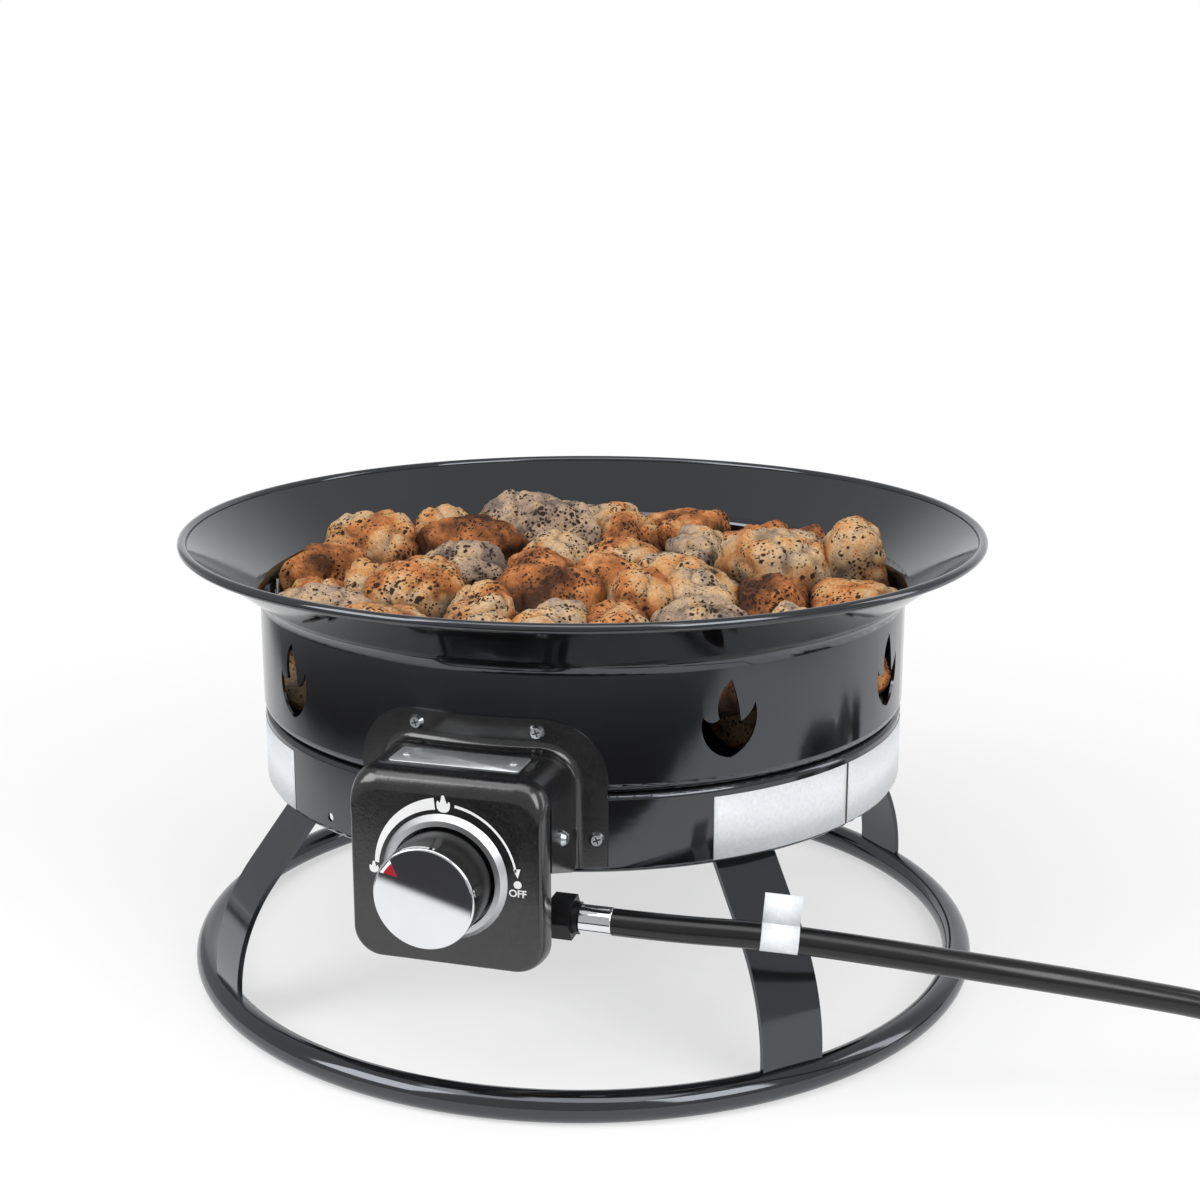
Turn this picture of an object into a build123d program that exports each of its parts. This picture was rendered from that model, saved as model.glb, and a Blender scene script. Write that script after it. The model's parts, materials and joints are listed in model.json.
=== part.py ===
"""Portable propane fire bowl on a four-legged ring stand, with its control valve, hose and regulator.

Millimetres, +Z up. The origin is on the bowl's axis at the floor, the control box faces -Y, and the
hose leaves towards +X. Angles around the bowl are counted from the control box, positive towards +X.
"""

import math
import os
import random

from build123d import *

os.makedirs("parts", exist_ok=True)

# Fits and overruns
overrun = 5.0
running_gap = 0.05
seat_gap = 0.05
end_gap = 0.3
rock_gap = 0.4

# Pressed bowl: rolled rim, flare, drum and floor
rim_diameter = 482.6
rim_bead_radius = 2.8
drum_diameter = 389.6
drum_height = 69.5
flare_height = 35.1
bowl_wall = 1.5
floor_height = 165.0
floor_corner_radius = 6.0
flare_bend_radius = 9.0

# Flame cut-outs in the drum
flame_count = 9
flame_width = 32.0
flame_height = 43.0
flame_rise = 37.0
flame_start_shares = (0.05, 1.0)
flame_arc_shares = [
    ((-0.42, 0.48), (-0.38, 0.02)),
    ((-0.72, -0.04), (-0.95, 0.16)),
    ((-0.80, -0.62), (0.05, -1.0)),
    ((0.86, -0.50), (0.95, 0.36)),
    ((0.70, 0.04), (0.42, -0.10)),
    ((0.30, 0.42), (0.05, 1.0)),
]

# Skirt under the bowl
skirt_inset = 0.5
skirt_wall = 1.5
skirt_height = 43.5
skirt_bend_radius = 3.0
skirt_lip_width = 6.8
skirt_flange_width = 14.0
skirt_hole_diameter = 5.0
skirt_hole_rise = 9.5
skirt_hole_angle = -29.6

# Strap legs and base ring
ring_diameter = 469.0
ring_tube_diameter = 17.0
ring_tube_wall = 1.6
leg_angles = [45.0, 135.0, 225.0, 315.0]
leg_width = 38.0
leg_thickness = 3.0
leg_foot_offset = 1.0
leg_foot_run = 2.6
leg_knee_rise = 40.1
leg_lip_gap = 4.1
leg_tab_bend_radius = 12.0
leg_tab_length = 36.0
stud_diameter = 6.0
stud_length = 12.0
stud_spacing = 20.0
stud_nut_width = 10.0
stud_nut_height = 5.0

# Burner and mixer tube
burner_ring_diameter = 116.0
burner_tube_diameter = 14.0
burner_cross_tube_diameter = 12.0
burner_rise = 25.0
burner_hub_wall = 4.0
burner_port_count = 16
burner_port_diameter = 3.0
burner_port_depth = 3.0
lock_nut_wall = 8.0
lock_nut_height = 7.0
mixer_diameter = 20.0
mixer_wall = 1.6
mixer_bend_radius = 30.0
mixer_socket_depth = 16.0
mixer_collar_width = 5.0
mixer_collar_height = 3.0
mixer_mouth_diameter = 28.0
mixer_mouth_length = 16.0
mixer_mouth_lap = 3.0
mixer_window_width = 12.0
mixer_window_length = 8.0
skirt_port_diameter = 25.0

# Control housing: a drafted pan with a deep rounded top edge, placed from the knob's axis
knob_drop = 29.0
hood_length = 36.2
housing_depth = 12.0
housing_width = 105.0
housing_rise = 54.0
housing_drop = 49.5
housing_corner_radius = 15.0
housing_top_round = 11.0
housing_side_round = 3.0
housing_wall = 1.6
housing_round_shares = [0.0, 0.12, 0.4, 1.0]
spindle_hole_gap = 2.0
ear_width = 16.0
ear_length = 27.0
ear_wall = 1.5
ear_rise = 15.0

# Hood between the drum and the housing, with a flange that follows the drum
hood_overhang = 0.5
hood_wall = 1.5
hood_corner_radius = 18.0
hood_foot_rise = 3.0
flange_foot_drop = 10.0
flange_side_edge = 5.5
flange_top_edge = 7.0
flange_arch_radius = 34.0
flange_cove_radius = 5.0
flange_screw_clearance = 0.8
flange_top_screw_spacing = 66.0
flange_side_screw_rise = 15.6
screw_diameter = 4.0
screw_head_diameter = 8.4
screw_head_height = 2.2
screw_head_taper = 30.0
ear_screw_length = 6.0

# Knob and bezel
knob_diameter = 53.0
knob_standoff = 4.5
knob_depth = 22.5
knob_skin = 2.5
knob_hub_diameter = 18.0
knob_hub_recess = 2.5
knob_floor = 4.0
knob_edge_radius = 1.0
cap_height = 3.2
cap_edge_radius = 1.2
pointer_angle = 142.0
pointer_length = 8.0
pointer_width = 8.5
pointer_height = 0.4
pointer_rim_inset = 1.6
bezel_gap = 1.5
bezel_width = 5.5
bezel_height = 3.4
bezel_taper = 38.0

# Push-and-turn valve, front to back along the knob's axis
bonnet_height = 4.0
valve_plate_height = 5.0
valve_barrel_wall = 5.0
valve_barrel_length = 40.4
valve_outlet_diameter = 14.0
valve_outlet_length = 9.0
valve_passage_diameter = 5.0
valve_inlet_diameter = 16.0
valve_inlet_drop = 19.0
valve_inlet_setback = 32.4
valve_screw_wall = 2.0
valve_screw_grip = 4.0
valve_ear_length = 7.0
plug_diameter = 16.0
plug_depth = 31.4
plug_wall = 1.4
plug_pocket_depth = 15.1
plug_key_depth = 10.0
spindle_diameter = 8.0
spindle_flat = 1.0
spindle_end_cover = 1.0
spindle_collar_gap = 0.1
spindle_collar_height = 2.0
spindle_tail_diameter = 6.0
spindle_tail_length = 19.0
spring_wire_diameter = 1.1
spring_side_gap = 0.85
spring_turns = 5
jet_diameter = 8.0
jet_length = 7.0
jet_bore_diameter = 1.0

# Hose fittings at the control box
hose_drop = 31.0
elbow_diameter = 12.0
elbow_bore_diameter = 7.0
elbow_bend_radius = 10.0
fitting_start = 45.0
fitting_hex_width = 21.0
fitting_hex_length = 12.0
fitting_neck_diameter = 17.0
fitting_neck_length = 3.0
ferrule_diameter = 15.2
ferrule_length = 18.0
ferrule_edge_radius = 1.0

# Hose: the free stretch lies along this route, and the rest is wound into a coil
hose_diameter = 14.3
hose_route = [
    (78.0, -205.0, 105.0),
    (110.0, -205.0, 105.0),
    (153.0, -195.5, 103.0),
    (203.0, -187.0, 98.0),
    (256.0, -177.5, 91.5),
    (300.0, -166.0, 84.5),
    (340.0, -150.0, 75.0),
    (378.0, -134.0, 65.0),
    (417.0, -118.0, 48.5),
    (456.0, -102.0, 28.5),
    (495.0, -86.0, 13.5),
    (532.0, -71.0, 8.9),
    (562.0, -58.6, 8.9),
]
bend_run_share = 0.45
coil_outer_radius = 90.0
coil_gap = 1.4
coil_tail_length = 42.0
coil_half_turns_in = 4
coil_half_turns_out = 5
coil_sample_count = 500
coil_neighbour_diameters = 3.0
tie_wall = 1.2
tie_width = 20.0
tie_slack = 1.6
tie_corner_radius = 6.0

# Regulator and coupling nut on the hose's far end
regulator_boss_diameter = 18.0
regulator_boss_length = 12.0
regulator_flange_width = 5.0
regulator_flange_height = 6.0
regulator_dish_diameter = 52.0
regulator_rise = 5.0
regulator_dish_depth = 14.0
regulator_foot_diameter = 24.0
regulator_foot_clearance = 0.3
regulator_lug_diameter = 7.0
regulator_lug_count = 6
bonnet_dome_inset = 1.0
bonnet_dome_height = 11.0
bonnet_dome_round = 6.0
vent_diameter = 12.0
vent_height = 4.0
vent_bore_diameter = 4.0
nipple_neck_diameter = 15.0
nipple_neck_length = 12.0
nipple_shoulder_diameter = 24.0
nipple_shoulder_length = 3.0
nipple_nose_diameter = 17.0
nipple_nose_length = 7.0
nipple_edge_radius = 1.5
nut_wall = 5.6
nut_length = 44.0
nut_back_wall = 5.0
nut_chamber_gap = 2.0
nut_chamber_length = 13.0
nut_thread_diameter = 32.8
nut_flute_count = 12
nut_flute_diameter = 7.0
nut_flute_depth = 1.6

# Lava rocks. A row gives a rock's place across and along the bowl, the height of its crown, and its
# half width, half depth and half height, as shares of the bowl's inside radius or of its depth.
rock_point_count = 30
rock_swell_shares = (1.28, 1.28, 1.08)
rock_roughness_share = 0.14
rock_wall_steps = [-3, -2, -1, 0, 1, 2, 3]
rock_wall_step_angle = 10.0
top_rock_shares = [
    (-0.85, -0.08, 0.78, 0.12, 0.14, 0.21),
    (-0.69, -0.42, 0.72, 0.15, 0.13, 0.19),
    (-0.81, 0.21, 0.87, 0.13, 0.14, 0.24),
    (-0.66, -0.20, 0.74, 0.09, 0.10, 0.19),
    (-0.67, 0.45, 0.83, 0.11, 0.13, 0.22),
    (-0.45, -0.26, 0.81, 0.17, 0.15, 0.22),
    (-0.47, 0.30, 0.87, 0.22, 0.13, 0.23),
    (-0.39, 0.04, 0.79, 0.16, 0.12, 0.20),
    (-0.22, -0.35, 0.75, 0.09, 0.11, 0.20),
    (-0.44, 0.68, 0.88, 0.13, 0.13, 0.24),
    (-0.25, 0.55, 0.89, 0.14, 0.13, 0.24),
    (-0.05, -0.18, 0.80, 0.19, 0.15, 0.22),
    (-0.16, 0.28, 0.79, 0.13, 0.13, 0.20),
    (-0.14, -0.55, 0.69, 0.09, 0.10, 0.18),
    (0.04, -0.47, 0.71, 0.12, 0.12, 0.19),
    (-0.02, 0.60, 0.81, 0.10, 0.12, 0.21),
    (0.06, 0.25, 0.79, 0.13, 0.12, 0.20),
    (0.21, -0.16, 0.79, 0.14, 0.14, 0.22),
    (0.25, -0.41, 0.72, 0.11, 0.12, 0.19),
    (0.15, 0.75, 0.86, 0.15, 0.14, 0.23),
    (0.27, 0.43, 0.83, 0.13, 0.14, 0.22),
    (0.42, 0.67, 0.82, 0.11, 0.13, 0.22),
    (0.41, -0.07, 0.80, 0.14, 0.15, 0.22),
    (0.47, -0.32, 0.72, 0.14, 0.13, 0.19),
    (0.56, 0.28, 0.89, 0.18, 0.16, 0.25),
    (0.62, -0.03, 0.76, 0.12, 0.14, 0.20),
    (0.62, 0.60, 0.83, 0.10, 0.12, 0.22),
    (0.81, 0.36, 0.98, 0.12, 0.13, 0.32),
    (-0.46, -0.60, 0.68, 0.15, 0.14, 0.19),
    (-0.24, -0.80, 0.64, 0.15, 0.13, 0.18),
    (0.06, -0.77, 0.65, 0.16, 0.14, 0.19),
    (0.33, -0.66, 0.68, 0.14, 0.13, 0.19),
    (0.58, -0.58, 0.69, 0.15, 0.14, 0.19),
    (0.74, -0.32, 0.71, 0.14, 0.13, 0.20),
    (0.85, 0.03, 0.74, 0.13, 0.15, 0.20),
    (-0.17, 0.82, 0.80, 0.14, 0.12, 0.22),
    (-0.79, -0.24, 0.66, 0.12, 0.12, 0.18),
    (-0.17, 0.05, 0.75, 0.13, 0.12, 0.19),
    (0.07, 0.04, 0.77, 0.13, 0.12, 0.20),
    (0.27, 0.14, 0.76, 0.13, 0.12, 0.19),
]
left_rock_limit_share = -0.30
right_rock_limit_share = 0.30
outer_rock_count = 12
outer_rock_shares = (0.80, 0.19, 0.22, 0.44)
inner_rock_count = 7
inner_rock_shares = (0.51, 0.17, 0.23, 0.42)

# Bowl, skirt and stand: sizes that follow from those above
drum_radius = drum_diameter / 2
skirt_radius = drum_radius - skirt_inset
floor_top = floor_height + bowl_wall
flare_foot_height = floor_height + drum_height
rim_height = flare_foot_height + flare_height
rim_bead_place = (rim_diameter / 2 - rim_bead_radius, rim_height - rim_bead_radius)
skirt_foot_height = floor_height - skirt_height
burner_height = floor_height + burner_rise
leg_face_radius = ring_diameter / 2 + leg_foot_offset
leg_knee_height = ring_tube_diameter + leg_knee_rise
leg_lip_radius = skirt_radius - skirt_lip_width - leg_lip_gap
leg_slope = math.atan2(leg_face_radius - leg_lip_radius, skirt_foot_height - leg_knee_height)
leg_top_radius = leg_lip_radius - math.tan(leg_slope) * skirt_height
leg_bend_radius = (leg_knee_rise - leg_foot_run) / math.tan(leg_slope / 2)

# Heights of the control box, from the knob's axis
knob_height = floor_height - knob_drop
housing_top_height = knob_height + housing_rise
housing_foot_height = knob_height - housing_drop
ear_height = knob_height + ear_rise
flange_screw_reach = flange_cove_radius + screw_head_diameter / 2 + flange_screw_clearance
flange_top_screw_height = housing_top_height + flange_screw_reach
flange_top_height = flange_top_screw_height + flange_top_edge
flange_foot_height = knob_height - flange_foot_drop
flange_side_screw_height = flange_foot_height + flange_side_screw_rise
hood_foot_front_height = knob_height + hood_foot_rise
hose_height = knob_height - hose_drop
valve_inlet_height = knob_height - valve_inlet_drop

# Reaches of the control box in front of the bowl's axis, and widths across it
flange_radius = drum_radius + seat_gap
hood_front_reach = drum_radius + hood_length
housing_face_reach = hood_front_reach + housing_depth
hood_width = housing_width + hood_overhang * 2
flange_side_screw_spacing = hood_width + flange_screw_reach * 2
flange_width = flange_side_screw_spacing + flange_side_edge * 2
knob_back_reach = housing_face_reach + knob_standoff
knob_front_reach = knob_back_reach + knob_depth
knob_hub_back_reach = knob_back_reach + knob_hub_recess
bezel_bore_diameter = knob_diameter + bezel_gap * 2
bezel_diameter = bezel_bore_diameter + bezel_width * 2
bonnet_front_reach = housing_face_reach - housing_wall
valve_front_reach = bonnet_front_reach - bonnet_height
valve_barrel_end_reach = valve_front_reach - valve_barrel_length
valve_outlet_end_reach = valve_barrel_end_reach - valve_outlet_length
hose_reach = valve_front_reach - valve_inlet_setback
plug_foot_reach = valve_front_reach - plug_depth
plug_top_reach = valve_front_reach - end_gap
plug_pocket_floor_reach = plug_top_reach - plug_pocket_depth
spindle_end_reach = knob_front_reach - knob_floor - spindle_end_cover
mixer_mouth_reach = valve_outlet_end_reach - jet_length + mixer_mouth_lap

# Diameters of the valve, from its plug, and of the burner's parts, from the mixer tube
valve_barrel_diameter = plug_diameter + valve_barrel_wall * 2
valve_screw_spacing = valve_barrel_diameter + (screw_diameter / 2 + valve_screw_wall) * 2
valve_plate_length = valve_screw_spacing + valve_ear_length * 2
plug_pocket_diameter = plug_diameter - plug_wall * 2
spindle_collar_diameter = plug_pocket_diameter - spindle_collar_gap * 2
spring_diameter = plug_pocket_diameter - spring_wire_diameter - spring_side_gap * 2
spindle_hole_diameter = spindle_diameter + spindle_hole_gap * 2
burner_hub_diameter = mixer_diameter + burner_hub_wall * 2
lock_nut_width = mixer_diameter + lock_nut_wall * 2
mixer_collar_diameter = mixer_diameter + mixer_collar_width * 2
regulator_flange_diameter = regulator_dish_diameter + regulator_flange_width * 2
bonnet_dome_diameter = regulator_dish_diameter - bonnet_dome_inset * 2
nut_diameter = nut_thread_diameter + nut_wall * 2
nut_chamber_diameter = nipple_shoulder_diameter + nut_chamber_gap * 2


def outward(angle):
    """Unit vector out of the bowl at an angle from the control box."""
    return Vector(math.sin(math.radians(angle)), -math.cos(math.radians(angle)), 0)


def wall_plane(angle, radius, height):
    """Plane that faces outwards at a place on the bowl's side, with its own y axis upright."""
    out = outward(angle)
    return Plane(
        origin=(out.X * radius, out.Y * radius, height),
        x_dir=(-out.Y, out.X, 0),
        z_dir=out,
    )


def section_plane(angle):
    """Plane through the bowl's axis, with its x axis outwards and its y axis upright."""
    out = outward(angle)
    return Plane(origin=(0, 0, 0), x_dir=out, z_dir=(out.Y, -out.X, 0))


def front_plane(reach, height=0):
    """Plane that faces the user, at a distance in front of the bowl's axis."""
    return wall_plane(0, reach, height)


def axis_plane(reach):
    """Front plane centred on the knob's axis."""
    return front_plane(reach, knob_height)


def hose_plane(place):
    """Plane across the hose fittings, facing the way the hose leaves."""
    return Plane(origin=(place, -hose_reach, hose_height), x_dir=(0, 1, 0), z_dir=(1, 0, 0))


# Screws that hold the hood's flange on the drum and the skirt
flange_outer_radius = flange_radius + hood_wall
top_screw_angle = math.degrees(math.asin(flange_top_screw_spacing / 2 / flange_outer_radius))
side_screw_angle = math.degrees(math.asin(flange_side_screw_spacing / 2 / flange_outer_radius))
top_screw_planes = [
    wall_plane(side * top_screw_angle, flange_outer_radius, flange_top_screw_height) for side in (-1, 1)
]
side_screw_planes = [
    wall_plane(side * side_screw_angle, flange_outer_radius, flange_side_screw_height) for side in (-1, 1)
]
flange_screw_planes = top_screw_planes + side_screw_planes


def flame_point(shares):
    """Place on a flame's outline, from its shares of the half width and half height."""
    return (shares[0] * flame_width / 2, shares[1] * flame_height / 2)


# Bowl
with BuildPart() as fire_bowl:
    with BuildSketch(Plane.XZ):
        with BuildLine():
            FilletPolyline(
                (mixer_diameter / 2 + seat_gap, floor_height),
                (drum_radius, floor_height),
                (drum_radius, flare_foot_height),
                rim_bead_place,
                radius=[floor_corner_radius, flare_bend_radius],
            )
            offset(amount=bowl_wall, side=Side.LEFT)
        make_face()
        with Locations(rim_bead_place):
            Circle(rim_bead_radius)
    revolve(axis=Axis.Z)

    # A tongue of flame with a smaller one on each side
    flame_angles = [360 / flame_count * step for step in range(1, flame_count)]
    flame_reach = drum_radius + overrun
    with BuildSketch(*[wall_plane(a, flame_reach, floor_height + flame_rise) for a in flame_angles]):
        with BuildLine():
            corner = flame_point(flame_start_shares)
            for middle_shares, finish_shares in flame_arc_shares:
                finish = flame_point(finish_shares)
                ThreePointArc(corner, flame_point(middle_shares), finish)
                corner = finish
        make_face()
    extrude(amount=-(overrun + bowl_wall + overrun), mode=Mode.SUBTRACT)
    with BuildSketch(*top_screw_planes):
        Circle(screw_diameter / 2 + seat_gap)
    extrude(amount=overrun, both=True, mode=Mode.SUBTRACT)
fire_bowl.part.label = "fire_bowl"
export_step(fire_bowl.part, "parts/fire_bowl.step")

# Skirt, with an inward flange under the bowl's floor and an in-turned foot
with BuildPart() as base_skirt:
    with BuildSketch(Plane.XZ):
        with BuildLine():
            FilletPolyline(
                (skirt_radius - skirt_lip_width, skirt_foot_height),
                (skirt_radius, skirt_foot_height),
                (skirt_radius, floor_height),
                (skirt_radius - skirt_flange_width, floor_height),
                radius=skirt_bend_radius,
            )
            offset(amount=skirt_wall, side=Side.LEFT)
        make_face()
    revolve(axis=Axis.Z)
    with BuildSketch(axis_plane(skirt_radius + overrun)):
        Circle(skirt_port_diameter / 2)
    extrude(amount=-(overrun + skirt_wall + overrun), mode=Mode.SUBTRACT)
    skirt_hole_height = skirt_foot_height + skirt_hole_rise
    with BuildSketch(wall_plane(skirt_hole_angle, skirt_radius + overrun, skirt_hole_height)):
        Circle(skirt_hole_diameter / 2)
    extrude(amount=-(overrun + skirt_wall + overrun), mode=Mode.SUBTRACT)
    with BuildSketch(*side_screw_planes):
        Circle(screw_diameter / 2 + seat_gap)
    extrude(amount=overrun, both=True, mode=Mode.SUBTRACT)
base_skirt.part.label = "base_skirt"
export_step(base_skirt.part, "parts/base_skirt.step")

# Base ring of bent tube
with BuildPart() as base_ring:
    with BuildSketch(Plane.XZ):
        with Locations((ring_diameter / 2, ring_tube_diameter / 2)):
            Circle(ring_tube_diameter / 2)
            Circle(ring_tube_diameter / 2 - ring_tube_wall, mode=Mode.SUBTRACT)
    revolve(axis=Axis.Z)
base_ring.part.label = "base_ring"
export_step(base_ring.part, "parts/base_ring.step")

# Strap legs: a tab under the bowl's floor, a sloping run, and a bend down onto the ring
stud_radius = leg_top_radius - leg_tab_length / 2
stud_points = [
    wall_plane(angle, stud_radius, floor_height).from_local_coords((side * stud_spacing / 2, 0, 0))
    for angle in leg_angles
    for side in (-1, 1)
]


def strap_leg(angle):
    with BuildPart() as leg:
        with BuildSketch(section_plane(angle)):
            with BuildLine():
                FilletPolyline(
                    (leg_top_radius - leg_tab_length, floor_height),
                    (leg_top_radius, floor_height),
                    (leg_face_radius, leg_knee_height),
                    (leg_face_radius, ring_tube_diameter + seat_gap),
                    radius=[leg_tab_bend_radius, leg_bend_radius],
                )
                offset(amount=leg_thickness, side=Side.RIGHT)
            make_face()
        extrude(amount=leg_width / 2, both=True)
        with BuildSketch(Plane.XY.offset(floor_height + overrun)):
            with Locations(*[(point.X, point.Y) for point in stud_points]):
                Circle(stud_diameter / 2 + seat_gap)
        extrude(amount=-(overrun + leg_thickness + overrun), mode=Mode.SUBTRACT)
    return leg.part


for number, leg_angle in enumerate(leg_angles, start=1):
    leg = strap_leg(leg_angle)
    leg.label = f"leg_{number}"
    export_step(leg, f"parts/leg_{number}.step")

# Weld studs under the bowl's floor, and the nuts that hold the legs on them
with BuildPart() as leg_studs:
    with BuildSketch(Plane.XY.offset(floor_height)):
        with Locations(*[(point.X, point.Y) for point in stud_points]):
            Circle(stud_diameter / 2)
    extrude(amount=-stud_length)
leg_studs.part.label = "leg_studs"
export_step(leg_studs.part, "parts/leg_studs.step")

with BuildPart() as leg_nuts:
    with BuildSketch(Plane.XY.offset(floor_height - leg_thickness)):
        with Locations(*[(point.X, point.Y) for point in stud_points]):
            RegularPolygon(stud_nut_width / 2, side_count=6, major_radius=False)
            Circle(stud_diameter / 2 + seat_gap, mode=Mode.SUBTRACT)
    extrude(amount=-stud_nut_height)
leg_nuts.part.label = "leg_nuts"
export_step(leg_nuts.part, "parts/leg_nuts.step")

# Mixer tube: an open mouth behind the jet, a run under the floor, and a bend up through it
mixer_radius = mixer_diameter / 2
mixer_bore_radius = mixer_radius - mixer_wall
lock_nut_top = floor_top + lock_nut_height
mixer_top = lock_nut_top + mixer_socket_depth
mixer_neck_reach = mixer_mouth_reach - mixer_mouth_length
with BuildPart() as mixer_tube:
    with BuildLine() as mixer_path:
        FilletPolyline(
            (0, -mixer_neck_reach, knob_height),
            (0, 0, knob_height),
            (0, 0, mixer_top),
            radius=mixer_bend_radius,
        )
    with BuildSketch(axis_plane(mixer_neck_reach)):
        Circle(mixer_radius)
    sweep(path=mixer_path.line)
    with BuildSketch(axis_plane(mixer_neck_reach)):
        Circle(mixer_radius)
    with BuildSketch(axis_plane(mixer_mouth_reach)):
        Circle(mixer_mouth_diameter / 2)
    loft()
    with BuildSketch(Plane.XY.offset(floor_height)):
        Circle(mixer_collar_diameter / 2)
    extrude(amount=-mixer_collar_height)
    with BuildSketch(axis_plane(mixer_neck_reach)):
        Circle(mixer_bore_radius)
    sweep(path=mixer_path.line, mode=Mode.SUBTRACT)
    with BuildSketch(axis_plane(mixer_neck_reach)):
        Circle(mixer_bore_radius)
    with BuildSketch(axis_plane(mixer_mouth_reach)):
        Circle(mixer_mouth_diameter / 2 - mixer_wall)
    loft(mode=Mode.SUBTRACT)
    window_reach = mixer_neck_reach + mixer_mouth_length / 2
    with BuildSketch(Plane.YZ.offset(-mixer_mouth_diameter)):
        with Locations((-window_reach, knob_height)):
            Rectangle(mixer_window_length, mixer_window_width)
    extrude(amount=mixer_mouth_diameter * 2, mode=Mode.SUBTRACT)
mixer_tube.part.label = "mixer_tube"
export_step(mixer_tube.part, "parts/mixer_tube.step")

with BuildPart() as burner_lock_nut:
    with BuildSketch(Plane.XY.offset(floor_top)):
        RegularPolygon(lock_nut_width / 2, side_count=6, major_radius=False)
        Circle(mixer_radius + seat_gap, mode=Mode.SUBTRACT)
    extrude(amount=lock_nut_height)
burner_lock_nut.part.label = "burner_lock_nut"
export_step(burner_lock_nut.part, "parts/burner_lock_nut.step")

# Ring burner with a cross tube and a hub that sits on the lock nut
burner_top = burner_height + burner_tube_diameter / 2
with BuildPart() as burner_ring:
    with BuildSketch(Plane.YZ):
        with Locations((burner_ring_diameter / 2, burner_height)):
            Circle(burner_tube_diameter / 2)
    revolve(axis=Axis.Z)
    with BuildSketch(Plane.YZ.offset(-burner_ring_diameter / 2)):
        with Locations((0, burner_height)):
            Circle(burner_cross_tube_diameter / 2)
    extrude(amount=burner_ring_diameter)
    with BuildSketch(Plane.XY.offset(lock_nut_top)):
        Circle(burner_hub_diameter / 2)
    extrude(amount=burner_top - lock_nut_top)
    with BuildSketch(Plane.XY.offset(lock_nut_top)):
        Circle(mixer_radius + seat_gap)
    extrude(amount=mixer_socket_depth, mode=Mode.SUBTRACT)
    with BuildSketch(Plane.XY.offset(burner_top + overrun)):
        port_start = 180 / burner_port_count
        with PolarLocations(burner_ring_diameter / 2, burner_port_count, start_angle=port_start):
            Circle(burner_port_diameter / 2)
    extrude(amount=-(overrun + burner_port_depth), mode=Mode.SUBTRACT)
burner_ring.part.label = "burner_ring"
export_step(burner_ring.part, "parts/burner_ring.step")


def round_inset(radius, share):
    """How far a rounded edge has drawn in, at a share of its depth behind the face."""
    return radius * (1 - math.sqrt(1 - (1 - share) ** 2))


def housing_section(share, wall):
    """Outline of the housing at a share of its depth, drawn in all round by a wall."""
    side = housing_width / 2 - round_inset(housing_side_round, share) - wall
    top = housing_top_height - round_inset(housing_top_round, share) - wall
    foot = housing_foot_height + round_inset(housing_side_round, share) + wall
    with BuildSketch(front_plane(housing_face_reach - wall - housing_depth * share)) as section:
        with Locations((0, (top + foot) / 2)):
            RectangleRounded(side * 2, top - foot, housing_corner_radius - wall)
    return section.sketch


# Control housing: pan with a deep rounded top edge, and ears for the side screws
hood_inner_half_width = hood_width / 2 - hood_wall
ear_end_reach = hood_front_reach - ear_length
ear_screw_reach = ear_end_reach + ear_width / 2
with BuildPart() as control_housing:
    loft(sections=[housing_section(share, 0) for share in housing_round_shares])
    loft(
        sections=[housing_section(share, housing_wall) for share in housing_round_shares],
        mode=Mode.SUBTRACT,
    )
    for side in (-1, 1):
        with BuildSketch(Plane.YZ.offset(side * hood_inner_half_width)):
            with Locations((-(ear_end_reach + hood_front_reach + housing_depth / 2) / 2, ear_height)):
                Rectangle(ear_length + housing_depth / 2, ear_width)
        extrude(amount=-side * ear_wall)
        with BuildSketch(Plane.YZ.offset(side * hood_inner_half_width)):
            with Locations((-ear_screw_reach, ear_height)):
                Circle(screw_diameter / 2 + seat_gap)
        extrude(amount=overrun, both=True, mode=Mode.SUBTRACT)
    with BuildSketch(axis_plane(housing_face_reach + overrun)):
        Circle(spindle_hole_diameter / 2)
        with GridLocations(valve_screw_spacing, 0, 2, 1):
            Circle(screw_diameter / 2 + seat_gap)
    extrude(amount=-(overrun + housing_wall + overrun), mode=Mode.SUBTRACT)
control_housing.part.label = "control_housing"
export_step(control_housing.part, "parts/control_housing.step")

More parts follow.
